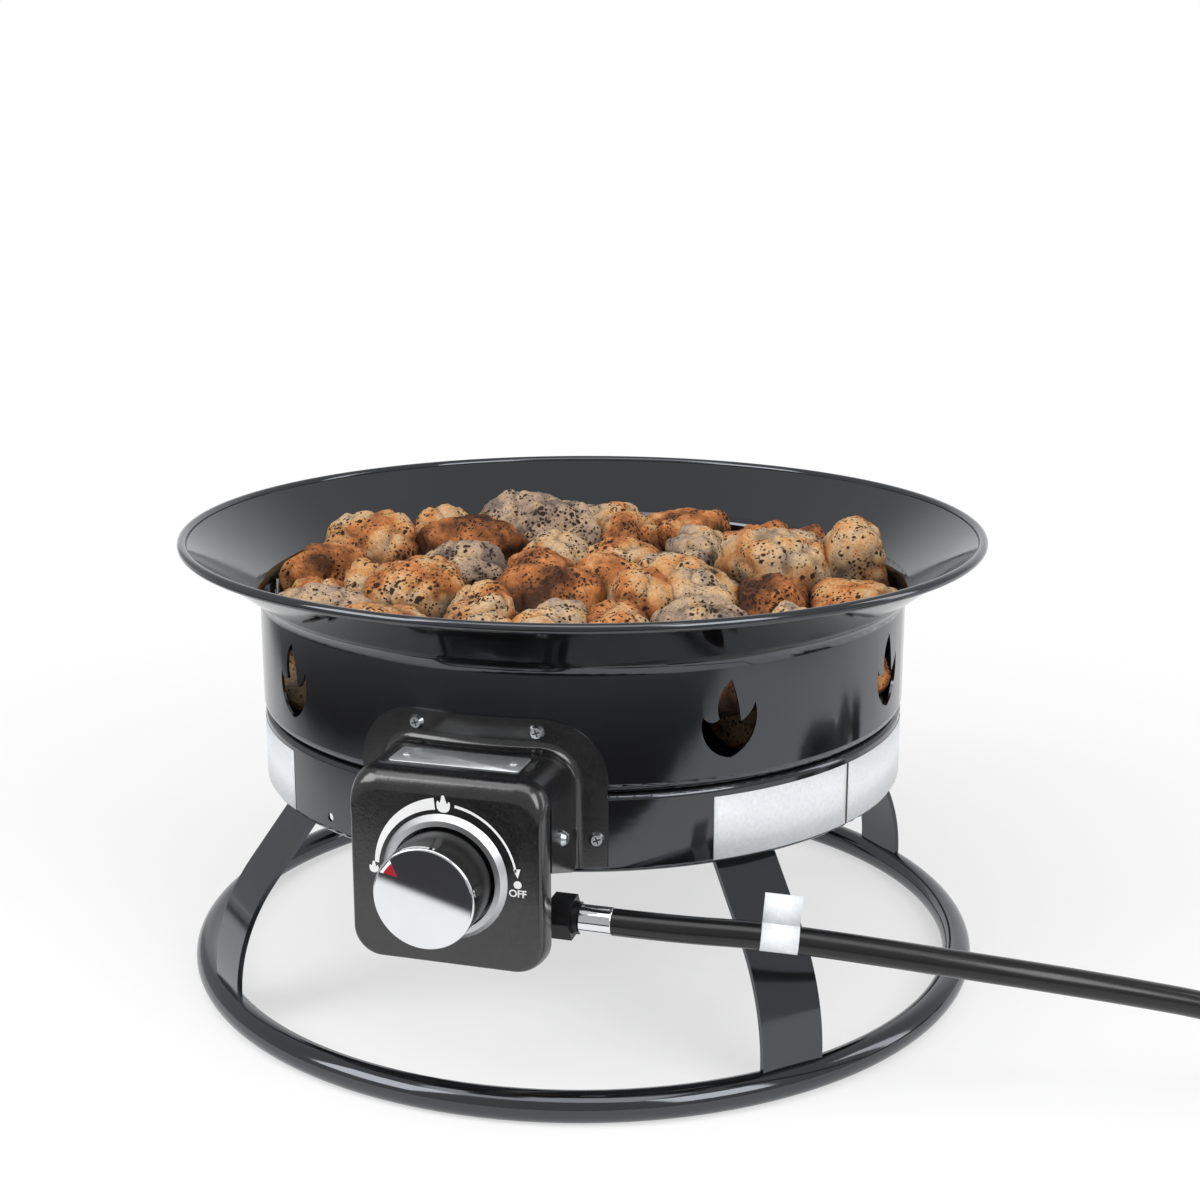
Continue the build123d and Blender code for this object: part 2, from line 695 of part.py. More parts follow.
# Hood: a tunnel from the drum to the housing, on a flange that follows the drum
tunnel_length = hood_front_reach - skirt_radius / 2
with BuildPart() as mounting_hood:
    with BuildSketch(front_plane(hood_front_reach)):
        with BuildLine():
            FilletPolyline(
                (-flange_width / 2, flange_foot_height),
                (-flange_width / 2, flange_top_height),
                (flange_width / 2, flange_top_height),
                (flange_width / 2, flange_foot_height),
                radius=flange_arch_radius,
            )
            Line((flange_width / 2, flange_foot_height), (-flange_width / 2, flange_foot_height))
        make_face()
    extrude(amount=-tunnel_length)
    Cylinder(
        flange_outer_radius,
        flange_top_height + overrun,
        align=(Align.CENTER, Align.CENTER, Align.MIN),
        mode=Mode.INTERSECT,
    )
    with BuildSketch(front_plane(hood_front_reach)):
        with BuildLine():
            FilletPolyline(
                (-hood_width / 2, flange_foot_height),
                (-hood_width / 2, housing_top_height),
                (hood_width / 2, housing_top_height),
                (hood_width / 2, flange_foot_height),
                radius=hood_corner_radius,
            )
            Line((hood_width / 2, flange_foot_height), (-hood_width / 2, flange_foot_height))
        make_face()
    extrude(amount=-tunnel_length)
    cove_edges = [
        edge
        for edge in edges()
        if abs(math.hypot(edge.center().X, edge.center().Y) - flange_outer_radius) < hood_wall
        and abs(edge.center().X) < hood_width / 2 + hood_wall
        and edge.center().Z < housing_top_height + hood_wall
        and edge.center().Z > flange_foot_height + hood_wall
    ]
    fillet(cove_edges, flange_cove_radius)
    with BuildSketch(front_plane(hood_front_reach + overrun)):
        with BuildLine():
            FilletPolyline(
                (-hood_inner_half_width, 0),
                (-hood_inner_half_width, housing_top_height - hood_wall),
                (hood_inner_half_width, housing_top_height - hood_wall),
                (hood_inner_half_width, 0),
                radius=hood_corner_radius - hood_wall,
            )
            Line((hood_inner_half_width, 0), (-hood_inner_half_width, 0))
        make_face()
    extrude(amount=-(tunnel_length + overrun * 2), mode=Mode.SUBTRACT)
    Cylinder(
        flange_radius,
        flange_top_height + overrun,
        align=(Align.CENTER, Align.CENTER, Align.MIN),
        mode=Mode.SUBTRACT,
    )
    with BuildSketch(Plane.YZ.offset(-hood_width / 2 - overrun)):
        with BuildLine():
            Polyline(
                (-hood_front_reach - overrun, 0),
                (-hood_front_reach - overrun, hood_foot_front_height),
                (-hood_front_reach, hood_foot_front_height),
                (-flange_outer_radius, flange_foot_height),
                (-flange_outer_radius, 0),
                close=True,
            )
        make_face()
    extrude(amount=hood_width + overrun * 2, mode=Mode.SUBTRACT)
    for side in (-1, 1):
        with BuildSketch(Plane.YZ.offset(side * hood_width / 2)):
            with Locations((-ear_screw_reach, ear_height)):
                Circle(screw_diameter / 2 + seat_gap)
        extrude(amount=overrun, both=True, mode=Mode.SUBTRACT)
    with BuildSketch(*flange_screw_planes):
        Circle(screw_diameter / 2 + seat_gap)
    extrude(amount=overrun, both=True, mode=Mode.SUBTRACT)
mounting_hood.part.label = "mounting_hood"
export_step(mounting_hood.part, "parts/mounting_hood.step")

# Screws through the flange into the drum and skirt, and through the hood's sides into the ears
flange_screw_length = hood_wall + seat_gap + bowl_wall
with BuildPart() as hood_screws:
    with BuildSketch(*flange_screw_planes):
        Circle(screw_head_diameter / 2)
    extrude(amount=screw_head_height, taper=screw_head_taper)
    with BuildSketch(*flange_screw_planes):
        Circle(screw_diameter / 2)
    extrude(amount=-flange_screw_length)
hood_screws.part.label = "hood_screws"
export_step(hood_screws.part, "parts/hood_screws.step")

with BuildPart() as housing_screws:
    for side in (-1, 1):
        screw_plane = Plane(
            origin=(side * hood_width / 2, -ear_screw_reach, ear_height),
            x_dir=(0, 0, 1),
            z_dir=(side, 0, 0),
        )
        with BuildSketch(screw_plane):
            Circle(screw_head_diameter / 2)
        extrude(amount=screw_head_height, taper=screw_head_taper)
        with BuildSketch(screw_plane):
            Circle(screw_diameter / 2)
        extrude(amount=-ear_screw_length)
housing_screws.part.label = "housing_screws"
export_step(housing_screws.part, "parts/housing_screws.step")

# Bezel on the housing's face
with BuildPart() as knob_bezel:
    with BuildSketch(axis_plane(housing_face_reach)):
        Circle(bezel_diameter / 2)
    extrude(amount=bezel_height, taper=bezel_taper)
    with BuildSketch(axis_plane(housing_face_reach)):
        Circle(bezel_bore_diameter / 2)
    extrude(amount=bezel_height + overrun, mode=Mode.SUBTRACT)
knob_bezel.part.label = "knob_bezel"
export_step(knob_bezel.part, "parts/knob_bezel.step")

# Knob: a hollow cup with a hub on the spindle, a bright cap and a pointer
knob_radius = knob_diameter / 2
with BuildPart() as control_knob:
    with BuildSketch(axis_plane(knob_back_reach)):
        Circle(knob_radius)
    extrude(amount=knob_front_reach - knob_back_reach)
    fillet(edges().group_by(Axis.Y)[-1], knob_edge_radius)
    with BuildSketch(axis_plane(knob_back_reach)):
        Circle(knob_radius - knob_skin)
        Circle(knob_hub_diameter / 2, mode=Mode.SUBTRACT)
    extrude(amount=knob_front_reach - knob_back_reach - knob_floor, mode=Mode.SUBTRACT)
    with BuildSketch(axis_plane(knob_back_reach)):
        Circle(knob_hub_diameter / 2 + running_gap)
    extrude(amount=knob_hub_back_reach - knob_back_reach, mode=Mode.SUBTRACT)
    with BuildSketch(axis_plane(knob_back_reach)):
        Circle(spindle_diameter / 2 + seat_gap)
    extrude(amount=spindle_end_reach + seat_gap - knob_back_reach, mode=Mode.SUBTRACT)
control_knob.part.label = "control_knob"
export_step(control_knob.part, "parts/control_knob.step")

cap_front_reach = knob_front_reach + cap_height
with BuildPart() as knob_cap:
    with BuildSketch(axis_plane(knob_front_reach)):
        Circle(knob_radius)
    extrude(amount=cap_height)
    fillet(edges().group_by(Axis.Y)[0], cap_edge_radius)
knob_cap.part.label = "knob_cap"
export_step(knob_cap.part, "parts/knob_cap.step")

pointer_plane = Plane(
    origin=axis_plane(cap_front_reach).origin,
    x_dir=(math.cos(math.radians(pointer_angle)), 0, math.sin(math.radians(pointer_angle))),
    z_dir=outward(0),
)
pointer_tip = knob_radius - pointer_rim_inset
with BuildPart() as knob_pointer:
    with BuildSketch(pointer_plane):
        with BuildLine():
            Polyline(
                (pointer_tip - pointer_length, 0),
                (pointer_tip, -pointer_width / 2),
                (pointer_tip, pointer_width / 2),
                close=True,
            )
        make_face()
    extrude(amount=pointer_height)
knob_pointer.part.label = "knob_pointer"
export_step(knob_pointer.part, "parts/knob_pointer.step")

# Valve bonnet behind the housing's face
with BuildPart() as valve_bonnet:
    with BuildSketch(axis_plane(bonnet_front_reach)):
        SlotOverall(valve_plate_length, valve_barrel_diameter)
        Circle(spindle_diameter / 2 + running_gap, mode=Mode.SUBTRACT)
        with GridLocations(valve_screw_spacing, 0, 2, 1):
            Circle(screw_diameter / 2 + seat_gap, mode=Mode.SUBTRACT)
    extrude(amount=-bonnet_height)
valve_bonnet.part.label = "valve_bonnet"
export_step(valve_bonnet.part, "parts/valve_bonnet.step")

# Valve body: plate, barrel, outlet towards the mixer and inlet from below
valve_inlet_plane = Plane.XY.offset(valve_inlet_height)
with BuildPart() as valve_body:
    with BuildSketch(axis_plane(valve_front_reach)):
        SlotOverall(valve_plate_length, valve_barrel_diameter)
    extrude(amount=-valve_plate_height)
    with BuildSketch(axis_plane(valve_front_reach)):
        Circle(valve_barrel_diameter / 2)
    extrude(amount=-(valve_front_reach - valve_barrel_end_reach))
    with BuildSketch(axis_plane(valve_barrel_end_reach)):
        Circle(valve_outlet_diameter / 2)
    extrude(amount=-(valve_barrel_end_reach - valve_outlet_end_reach))
    with BuildSketch(valve_inlet_plane):
        with Locations((0, -hose_reach)):
            Circle(valve_inlet_diameter / 2)
    extrude(amount=knob_height - valve_inlet_height)
    with BuildSketch(axis_plane(valve_front_reach)):
        Circle(plug_diameter / 2 + running_gap)
    extrude(amount=-(valve_front_reach - plug_foot_reach), mode=Mode.SUBTRACT)
    with BuildSketch(axis_plane(plug_foot_reach + overrun)):
        Circle(valve_passage_diameter / 2)
    extrude(amount=-(overrun + plug_foot_reach - valve_outlet_end_reach + overrun), mode=Mode.SUBTRACT)
    with BuildSketch(valve_inlet_plane):
        with Locations((0, -hose_reach)):
            Circle(elbow_bore_diameter / 2)
    extrude(amount=knob_height - valve_inlet_height, mode=Mode.SUBTRACT)
    with BuildSketch(axis_plane(valve_front_reach)):
        with GridLocations(valve_screw_spacing, 0, 2, 1):
            Circle(screw_diameter / 2 + seat_gap)
    extrude(amount=-valve_plate_height, mode=Mode.SUBTRACT)
valve_body.part.label = "valve_body"
export_step(valve_body.part, "parts/valve_body.step")

with BuildPart() as valve_screws:
    with BuildSketch(axis_plane(housing_face_reach)):
        with GridLocations(valve_screw_spacing, 0, 2, 1):
            Circle(screw_head_diameter / 2)
    extrude(amount=screw_head_height, taper=screw_head_taper)
    with BuildSketch(axis_plane(housing_face_reach)):
        with GridLocations(valve_screw_spacing, 0, 2, 1):
            Circle(screw_diameter / 2)
    extrude(amount=-(housing_wall + bonnet_height + valve_screw_grip))
valve_screws.part.label = "valve_screws"
export_step(valve_screws.part, "parts/valve_screws.step")

# Plug that turns in the barrel: a pocket for the spring, and a keyed hole for the spindle's tail
key_end_reach = plug_pocket_floor_reach - plug_key_depth
with BuildPart() as valve_plug:
    with BuildSketch(axis_plane(plug_foot_reach + end_gap)):
        Circle(plug_diameter / 2)
    extrude(amount=plug_top_reach - plug_foot_reach - end_gap)
    with BuildSketch(axis_plane(plug_pocket_floor_reach)):
        Circle(plug_pocket_diameter / 2)
    extrude(amount=plug_top_reach - plug_pocket_floor_reach + overrun, mode=Mode.SUBTRACT)
    with BuildSketch(axis_plane(key_end_reach)):
        Circle(spindle_tail_diameter / 2 + running_gap)
        with Locations((0, spindle_tail_diameter - spindle_flat + running_gap)):
            Rectangle(spindle_tail_diameter * 2, spindle_tail_diameter, mode=Mode.SUBTRACT)
    extrude(amount=plug_key_depth, mode=Mode.SUBTRACT)
    with BuildSketch(axis_plane(plug_foot_reach)):
        Circle(valve_passage_diameter / 2)
    extrude(amount=(key_end_reach - plug_foot_reach) / 2, mode=Mode.SUBTRACT)
valve_plug.part.label = "valve_plug"
export_step(valve_plug.part, "parts/valve_plug.step")

# Spindle: keyed tail, retaining collar and shaft to the knob
collar_front_reach = valve_front_reach - seat_gap
collar_back_reach = collar_front_reach - spindle_collar_height
with BuildPart() as valve_spindle:
    with BuildSketch(axis_plane(collar_back_reach)):
        Circle(spindle_tail_diameter / 2)
        with Locations((0, spindle_tail_diameter - spindle_flat)):
            Rectangle(spindle_tail_diameter * 2, spindle_tail_diameter, mode=Mode.SUBTRACT)
    extrude(amount=-spindle_tail_length)
    with BuildSketch(axis_plane(collar_back_reach)):
        Circle(spindle_collar_diameter / 2)
    extrude(amount=spindle_collar_height)
    with BuildSketch(axis_plane(collar_front_reach)):
        Circle(spindle_diameter / 2)
    extrude(amount=spindle_end_reach - collar_front_reach)
valve_spindle.part.label = "valve_spindle"
export_step(valve_spindle.part, "parts/valve_spindle.step")

# Return spring between the plug's pocket and the collar, each half turn a tilted half circle
spring_foot = plug_pocket_floor_reach + spring_wire_diameter / 2 + seat_gap
spring_head = collar_back_reach - spring_wire_diameter / 2 - seat_gap
spring_step = (spring_head - spring_foot) / (spring_turns * 2)
spring_radius = spring_diameter / 2
with BuildPart() as valve_spring:
    with BuildLine(axis_plane(spring_foot)) as spring_path:
        for half in range(spring_turns * 2):
            side = 1 if half % 2 == 0 else -1
            sweep_radius = math.hypot(spring_radius, spring_step / 2)
            ThreePointArc(
                (side * spring_radius, 0, half * spring_step),
                (0, side * sweep_radius, (half + 1 / 2) * spring_step),
                (-side * spring_radius, 0, (half + 1) * spring_step),
            )
    with BuildSketch(Plane(origin=spring_path.line @ 0, z_dir=spring_path.line % 0)):
        Circle(spring_wire_diameter / 2)
    sweep(path=spring_path.line)
valve_spring.part.label = "valve_spring"
export_step(valve_spring.part, "parts/valve_spring.step")

# Gas jet on the valve's outlet
with BuildPart() as gas_jet:
    with BuildSketch(axis_plane(valve_outlet_end_reach)):
        RegularPolygon(jet_diameter / 2, side_count=6)
        Circle(jet_bore_diameter / 2, mode=Mode.SUBTRACT)
    extrude(amount=-jet_length)
gas_jet.part.label = "gas_jet"
export_step(gas_jet.part, "parts/gas_jet.step")

# Elbow from the valve's inlet to the hose fitting
with BuildPart() as inlet_elbow:
    with BuildLine() as elbow_path:
        FilletPolyline(
            (0, -hose_reach, valve_inlet_height),
            (0, -hose_reach, hose_height),
            (fitting_start, -hose_reach, hose_height),
            radius=elbow_bend_radius,
        )
    with BuildSketch(Plane(origin=elbow_path.line @ 0, z_dir=elbow_path.line % 0)):
        Circle(elbow_diameter / 2)
        Circle(elbow_bore_diameter / 2, mode=Mode.SUBTRACT)
    sweep(path=elbow_path.line)
inlet_elbow.part.label = "inlet_elbow"
export_step(inlet_elbow.part, "parts/inlet_elbow.step")

# Hex fitting and crimped ferrule where the hose starts
neck_start = fitting_start + fitting_hex_length
ferrule_start = neck_start + fitting_neck_length
with BuildPart() as hose_fitting:
    with BuildSketch(hose_plane(fitting_start)):
        RegularPolygon(fitting_hex_width / 2, side_count=6, major_radius=False)
    extrude(amount=fitting_hex_length)
    with BuildSketch(hose_plane(neck_start)):
        Circle(fitting_neck_diameter / 2)
    extrude(amount=fitting_neck_length)
    with BuildSketch(hose_plane(fitting_start)):
        Circle(elbow_bore_diameter / 2)
    extrude(amount=fitting_hex_length + fitting_neck_length, mode=Mode.SUBTRACT)
hose_fitting.part.label = "hose_fitting"
export_step(hose_fitting.part, "parts/hose_fitting.step")

with BuildPart() as hose_ferrule:
    with BuildSketch(hose_plane(ferrule_start)):
        Circle(ferrule_diameter / 2)
    extrude(amount=ferrule_length)
    fillet(edges().filter_by(GeomType.CIRCLE), ferrule_edge_radius)
hose_ferrule.part.label = "hose_ferrule"
export_step(hose_ferrule.part, "parts/hose_ferrule.step")

# Hose: free stretch along the route, with each bend as large as its runs allow
hose_radius = hose_diameter / 2
route = [Vector(*place) for place in hose_route]
bend_radii = []
for before, corner, after in zip(route, route[1:], route[2:]):
    turn = math.radians((corner - before).get_angle(after - corner))
    shorter_run = min((corner - before).length, (after - corner).length)
    bend_radii.append(bend_run_share * shorter_run / math.tan(turn / 2))
with BuildPart() as gas_hose:
    with BuildLine() as hose_path:
        FilletPolyline(*route, radius=bend_radii)
    with BuildSketch(Plane(origin=hose_path.line @ 0, z_dir=hose_path.line % 0)):
        Circle(hose_radius)
    sweep(path=hose_path.line)
gas_hose.part.label = "gas_hose"
export_step(gas_hose.part, "parts/gas_hose.step")
print("hose bend radii", [round(radius) for radius in bend_radii])
hose_length = hose_path.wire().length
hose_section_area = math.pi * hose_radius**2
print("hose length", round(hose_length), "volume", round(gas_hose.part.volume))
print("volume by section and length", round(hose_section_area * hose_length))

# Coil: half turns that spiral in on the floor, climb in one half turn, and spiral out on top
heading = (route[-1] - route[-2]).normalized()
coil_pitch = hose_diameter + coil_gap
low_height = route[-1].Z
high_height = low_height + coil_pitch
coil_entry = route[-1] + heading * hose_diameter
coil_side = heading.cross(Vector(0, 0, 1))
coil_middle = coil_entry - coil_side * coil_outer_radius
coil_plane = Plane(origin=(coil_middle.X, coil_middle.Y, 0), x_dir=coil_side, z_dir=(0, 0, 1))
turn_places = [
    (coil_outer_radius - coil_pitch / 2 * half, low_height) for half in range(coil_half_turns_in + 1)
]
inner_radius = turn_places[-1][0]
turn_places.append((inner_radius - coil_pitch / 4, high_height))
turn_places += [
    (inner_radius + coil_pitch / 2 * half, high_height) for half in range(1, coil_half_turns_out + 1)
]
last_radius = turn_places[-1][0]
exit_radius = last_radius + coil_pitch / 4
with BuildPart() as hose_coil:
    with BuildLine(coil_plane) as coil_path:
        Line((coil_outer_radius, -hose_diameter, low_height), (coil_outer_radius, 0, low_height))
        for half, (start, finish) in enumerate(zip(turn_places, turn_places[1:])):
            side = 1 if half % 2 == 0 else -1
            span = math.hypot(start[0] + finish[0], finish[1] - start[1])
            ThreePointArc(
                (side * start[0], 0, start[1]),
                (side * (start[0] - finish[0]) / 2, side * span / 2, (start[1] + finish[1]) / 2),
                (-side * finish[0], 0, finish[1]),
            )
        exit_turn = RadiusArc(
            (last_radius, 0, high_height),
            (last_radius - exit_radius, exit_radius, high_height),
            -exit_radius,
        )
        Line(exit_turn @ 1, (last_radius - exit_radius - coil_tail_length, exit_radius, high_height))
    with BuildSketch(Plane(origin=coil_path.line @ 0, z_dir=coil_path.line % 0)):
        Circle(hose_radius)
    sweep(path=coil_path.line)
hose_coil.part.label = "hose_coil"
export_step(hose_coil.part, "parts/hose_coil.step")

# The coil's least gap to itself, on points along its line
coil_wire = coil_path.wire()
coil_length = coil_wire.length
coil_points = [coil_wire @ (step / coil_sample_count) for step in range(coil_sample_count + 1)]
skip = math.ceil(coil_neighbour_diameters * hose_diameter / coil_length * coil_sample_count)
least = min(
    (coil_points[i] - coil_points[j]).length
    for i in range(coil_sample_count + 1)
    for j in range(i + skip, coil_sample_count + 1)
)
print("coil length", round(coil_length), "least gap", round(least - hose_diameter, 2))
print("coil volume", round(hose_coil.part.volume), "by section", round(hose_section_area * coil_length))
print("whole hose", round(coil_length + hose_length))

# Tie round the coil's bundle, opposite the place where the hose enters
bundle_inner = min(place[0] for place in turn_places[1::2]) - hose_radius
bundle_outer = max(place[0] for place in turn_places[1::2]) + hose_radius
tie_inner = bundle_inner - tie_slack
tie_outer = bundle_outer + end_gap
tie_foot = low_height - hose_radius - end_gap
tie_head = high_height + hose_radius + end_gap
tie_plane = Plane(origin=coil_plane.origin, x_dir=-coil_plane.x_dir, z_dir=heading)
with BuildPart() as hose_tie:
    with BuildSketch(tie_plane):
        with Locations(((tie_inner + tie_outer) / 2, (tie_foot + tie_head) / 2)):
            RectangleRounded(
                tie_outer - tie_inner + tie_wall * 2, tie_head - tie_foot + tie_wall * 2, tie_corner_radius
            )
            RectangleRounded(
                tie_outer - tie_inner, tie_head - tie_foot, tie_corner_radius - tie_wall, mode=Mode.SUBTRACT
            )
    extrude(amount=tie_width / 2, both=True)
hose_tie.part.label = "hose_tie"
export_step(hose_tie.part, "parts/hose_tie.step")

# Regulator in line with the hose's end, lying flat on the floor
line_start = coil_wire @ 1
line_heading = -coil_plane.x_dir


def line_plane(distance):
    """Plane across the regulator's line, facing away from the hose."""
    return Plane(origin=line_start + line_heading * distance, x_dir=(0, 0, 1), z_dir=line_heading)


dish_radius = regulator_dish_diameter / 2
regulator_middle = ferrule_length + regulator_boss_length + dish_radius
regulator_end = regulator_middle + dish_radius + regulator_boss_length
regulator_place = line_start + line_heading * regulator_middle
flange_foot = line_start.Z + regulator_rise
flange_head = flange_foot + regulator_flange_height / 2
bonnet_head = flange_foot + regulator_flange_height
regulator_radius = regulator_flange_diameter / 2


def regulator_level(height):
    """Level plane over the regulator's middle."""
    return Plane(origin=(regulator_place.X, regulator_place.Y, height), x_dir=line_heading, z_dir=(0, 0, 1))


with BuildPart() as outlet_ferrule:
    with BuildSketch(line_plane(0)):
        Circle(ferrule_diameter / 2)
    extrude(amount=ferrule_length)
    fillet(edges().filter_by(GeomType.CIRCLE), ferrule_edge_radius)
outlet_ferrule.part.label = "outlet_ferrule"
export_step(outlet_ferrule.part, "parts/outlet_ferrule.step")

with BuildPart() as regulator_body:
    with BuildSketch(line_plane(ferrule_length)):
        Circle(regulator_boss_diameter / 2)
    extrude(amount=regulator_end - ferrule_length)
    with BuildSketch(regulator_level(flange_foot)):
        Circle(dish_radius)
    extrude(amount=-regulator_dish_depth)
    with BuildSketch(regulator_level(flange_foot)):
        Circle(regulator_radius)
        with PolarLocations(regulator_radius, regulator_lug_count, start_angle=180 / regulator_lug_count):
            Circle(regulator_lug_diameter / 2)
    extrude(amount=flange_head - flange_foot)
    with BuildSketch(regulator_level(regulator_foot_clearance)):
        Circle(regulator_foot_diameter / 2)
    extrude(amount=flange_foot - regulator_foot_clearance)
    with BuildSketch(regulator_level(flange_head)):
        Circle(regulator_radius)
    extrude(amount=regulator_boss_diameter, mode=Mode.SUBTRACT)
regulator_body.part.label = "regulator_body"
export_step(regulator_body.part, "parts/regulator_body.step")

with BuildPart() as regulator_bonnet:
    with BuildSketch(regulator_level(flange_head)):
        Circle(regulator_radius)
        with PolarLocations(regulator_radius, regulator_lug_count, start_angle=180 / regulator_lug_count):
            Circle(regulator_lug_diameter / 2)
    extrude(amount=bonnet_head - flange_head)
    with BuildSketch(regulator_level(bonnet_head)):
        Circle(bonnet_dome_diameter / 2)
    extrude(amount=bonnet_dome_height)
    fillet(edges().group_by(Axis.Z)[-1], bonnet_dome_round)
regulator_bonnet.part.label = "regulator_bonnet"
export_step(regulator_bonnet.part, "parts/regulator_bonnet.step")

with BuildPart() as vent_cap:
    with BuildSketch(regulator_level(bonnet_head + bonnet_dome_height)):
        Circle(vent_diameter / 2)
        Circle(vent_bore_diameter / 2, mode=Mode.SUBTRACT)
    extrude(amount=vent_height)
vent_cap.part.label = "vent_cap"
export_step(vent_cap.part, "parts/vent_cap.step")

# Inlet nipple, and the hand nut that turns freely behind its shoulder
shoulder_start = regulator_end + nipple_neck_length
nut_start = shoulder_start - end_gap - nut_back_wall
with BuildPart() as inlet_nipple:
    with BuildSketch(line_plane(regulator_end)):
        Circle(nipple_neck_diameter / 2)
    extrude(amount=nipple_neck_length)
    with BuildSketch(line_plane(shoulder_start)):
        Circle(nipple_shoulder_diameter / 2)
    extrude(amount=nipple_shoulder_length)
    with BuildSketch(line_plane(shoulder_start + nipple_shoulder_length)):
        Circle(nipple_nose_diameter / 2)
    extrude(amount=nipple_nose_length)
    fillet(faces().sort_by(Axis(line_start, line_heading))[-1].edges(), nipple_edge_radius)
inlet_nipple.part.label = "inlet_nipple"
export_step(inlet_nipple.part, "parts/inlet_nipple.step")

nut_radius = nut_diameter / 2
flute_radius = nut_radius + nut_flute_diameter / 2 - nut_flute_depth
with BuildPart() as coupling_nut:
    with BuildSketch(line_plane(nut_start)):
        Circle(nut_radius)
        with PolarLocations(flute_radius, nut_flute_count):
            Circle(nut_flute_diameter / 2, mode=Mode.SUBTRACT)
    extrude(amount=nut_length)
    with BuildSketch(line_plane(nut_start)):
        Circle(nipple_neck_diameter / 2 + running_gap)
    extrude(amount=nut_length, mode=Mode.SUBTRACT)
    with BuildSketch(line_plane(nut_start + nut_back_wall)):
        Circle(nut_chamber_diameter / 2)
    extrude(amount=nut_length, mode=Mode.SUBTRACT)
    with BuildSketch(line_plane(nut_start + nut_back_wall + nut_chamber_length)):
        Circle(nut_thread_diameter / 2)
    extrude(amount=nut_length, mode=Mode.SUBTRACT)
coupling_nut.part.label = "coupling_nut"
export_step(coupling_nut.part, "parts/coupling_nut.step")
thread_length = nut_length - nut_back_wall - nut_chamber_length
print("thread mouth", line_plane(nut_start + nut_length).origin, "heading", line_heading)
print("nut hinge", line_plane(nut_start).origin)

# Lava rocks: rough lumps, each drawn in to flat faces where it meets its neighbours and the bowl
rock_radius = drum_radius - bowl_wall
rock_depth = rim_height - floor_top
rocks = []
for across, along, crown, width, depth, height in top_rock_shares:
    half_height = height * rock_depth
    rocks.append(
        (
            Vector(across * rock_radius, along * rock_radius, floor_top + crown * rock_depth - half_height),
            (width * rock_radius, depth * rock_radius, half_height),
            0,
        )
    )
for count, (place, radial, around, tall) in (
    (outer_rock_count, outer_rock_shares),
    (inner_rock_count, inner_rock_shares),
):
    for number in range(count):
        turn = 360 / count * number
        half_height = tall * rock_depth / 2
        out = outward(turn)
        rocks.append(
            (
                Vector(out.X * place * rock_radius, out.Y * place * rock_radius, floor_top + half_height),
                (around * rock_radius, radial * rock_radius, half_height),
                turn,
            )
        )


def rock_reach(rock, direction):
    """Distance from a rock's middle to its swollen egg shape, along a direction."""
    middle, halves, turn = rock
    local = direction.rotate(Axis.Z, -turn)
    parts = [(c / (half * swell)) ** 2 for c, half, swell in zip(local, halves, rock_swell_shares)]
    return 1 / math.sqrt(sum(parts))


def rock_limits(rock):
    """Planes that hold a rock off its neighbours, the floor, the wall and the burner."""
    middle = rock[0]
    limits = [(Vector(0, 0, -1), middle.Z - floor_top - rock_gap)]
    bearing = math.degrees(math.atan2(middle.X, -middle.Y))
    chord_share = math.cos(math.radians(rock_wall_step_angle / 2))
    for step in rock_wall_steps:
        out = outward(bearing + step * rock_wall_step_angle)
        limits.append((out, rock_radius * chord_share - rock_gap - middle.dot(out)))
    burner_reach = (burner_ring_diameter + burner_tube_diameter) / 2 + rock_gap
    if middle.Z < burner_top:
        limits.append((-outward(bearing), math.hypot(middle.X, middle.Y) - burner_reach))
    else:
        limits.append((Vector(0, 0, -1), middle.Z - burner_top - rock_gap))
    for other in rocks:
        between = other[0] - middle
        if other is not rock and between.length < rock_radius:
            way = between.normalized()
            own, theirs = rock_reach(rock, way), rock_reach(other, -way)
            if own + theirs > between.length:
                limits.append((way, between.length * own / (own + theirs) - rock_gap / 2))
    return limits


def rock_points(number):
    """Corners of a rock, spread evenly round it and drawn in to its limits."""
    rock = rocks[number]
    limits = rock_limits(rock)
    chance = random.Random(number)
    golden_turn = math.pi * (3 - math.sqrt(5))
    ways = [(way, 1) for way, distance in limits if distance < rock_reach(rock, way)]
    for step in range(rock_point_count):
        level = 1 - (2 * step + 1) / rock_point_count
        ring = math.sqrt(1 - level**2)
        turn = golden_turn * step + number
        way = Vector(ring * math.cos(turn), ring * math.sin(turn), level)
        ways.append((way, 1 - rock_roughness_share * chance.random()))
    points = []
    for way, share in ways:
        reach = rock_reach(rock, way) * share
        for limit, distance in limits:
            if way.dot(limit) > 0:
                reach = min(reach, distance / way.dot(limit))
        points.append(rock[0] + way * reach)
    return points


rock_groups = {
    "lava_rocks_left": [],
    "lava_rocks_middle": [],
    "lava_rocks_right": [],
    "lava_rocks_lower": [],
}
for number in range(len(rocks)):
    across = rocks[number][0].X / rock_radius
    if number >= len(top_rock_shares):
        rock_groups["lava_rocks_lower"].append(number)
    elif across < left_rock_limit_share:
        rock_groups["lava_rocks_left"].append(number)
    elif across > right_rock_limit_share:
        rock_groups["lava_rocks_right"].append(number)
    else:
        rock_groups["lava_rocks_middle"].append(number)
for group, numbers in rock_groups.items():
    with BuildPart() as lava_rocks:
        for number in numbers:
            ConvexPolyhedron(rock_points(number))
    lava_rocks.part.label = group
    export_step(lava_rocks.part, f"parts/{group}.step")
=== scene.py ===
"""Portable propane fire bowl: finishes, hose, lava rocks, printed marks and the studio around it."""

import json
import math
import random

import bmesh
import bpy
from mathutils import Matrix, Vector, noise
from mathutils.bvhtree import BVHTree

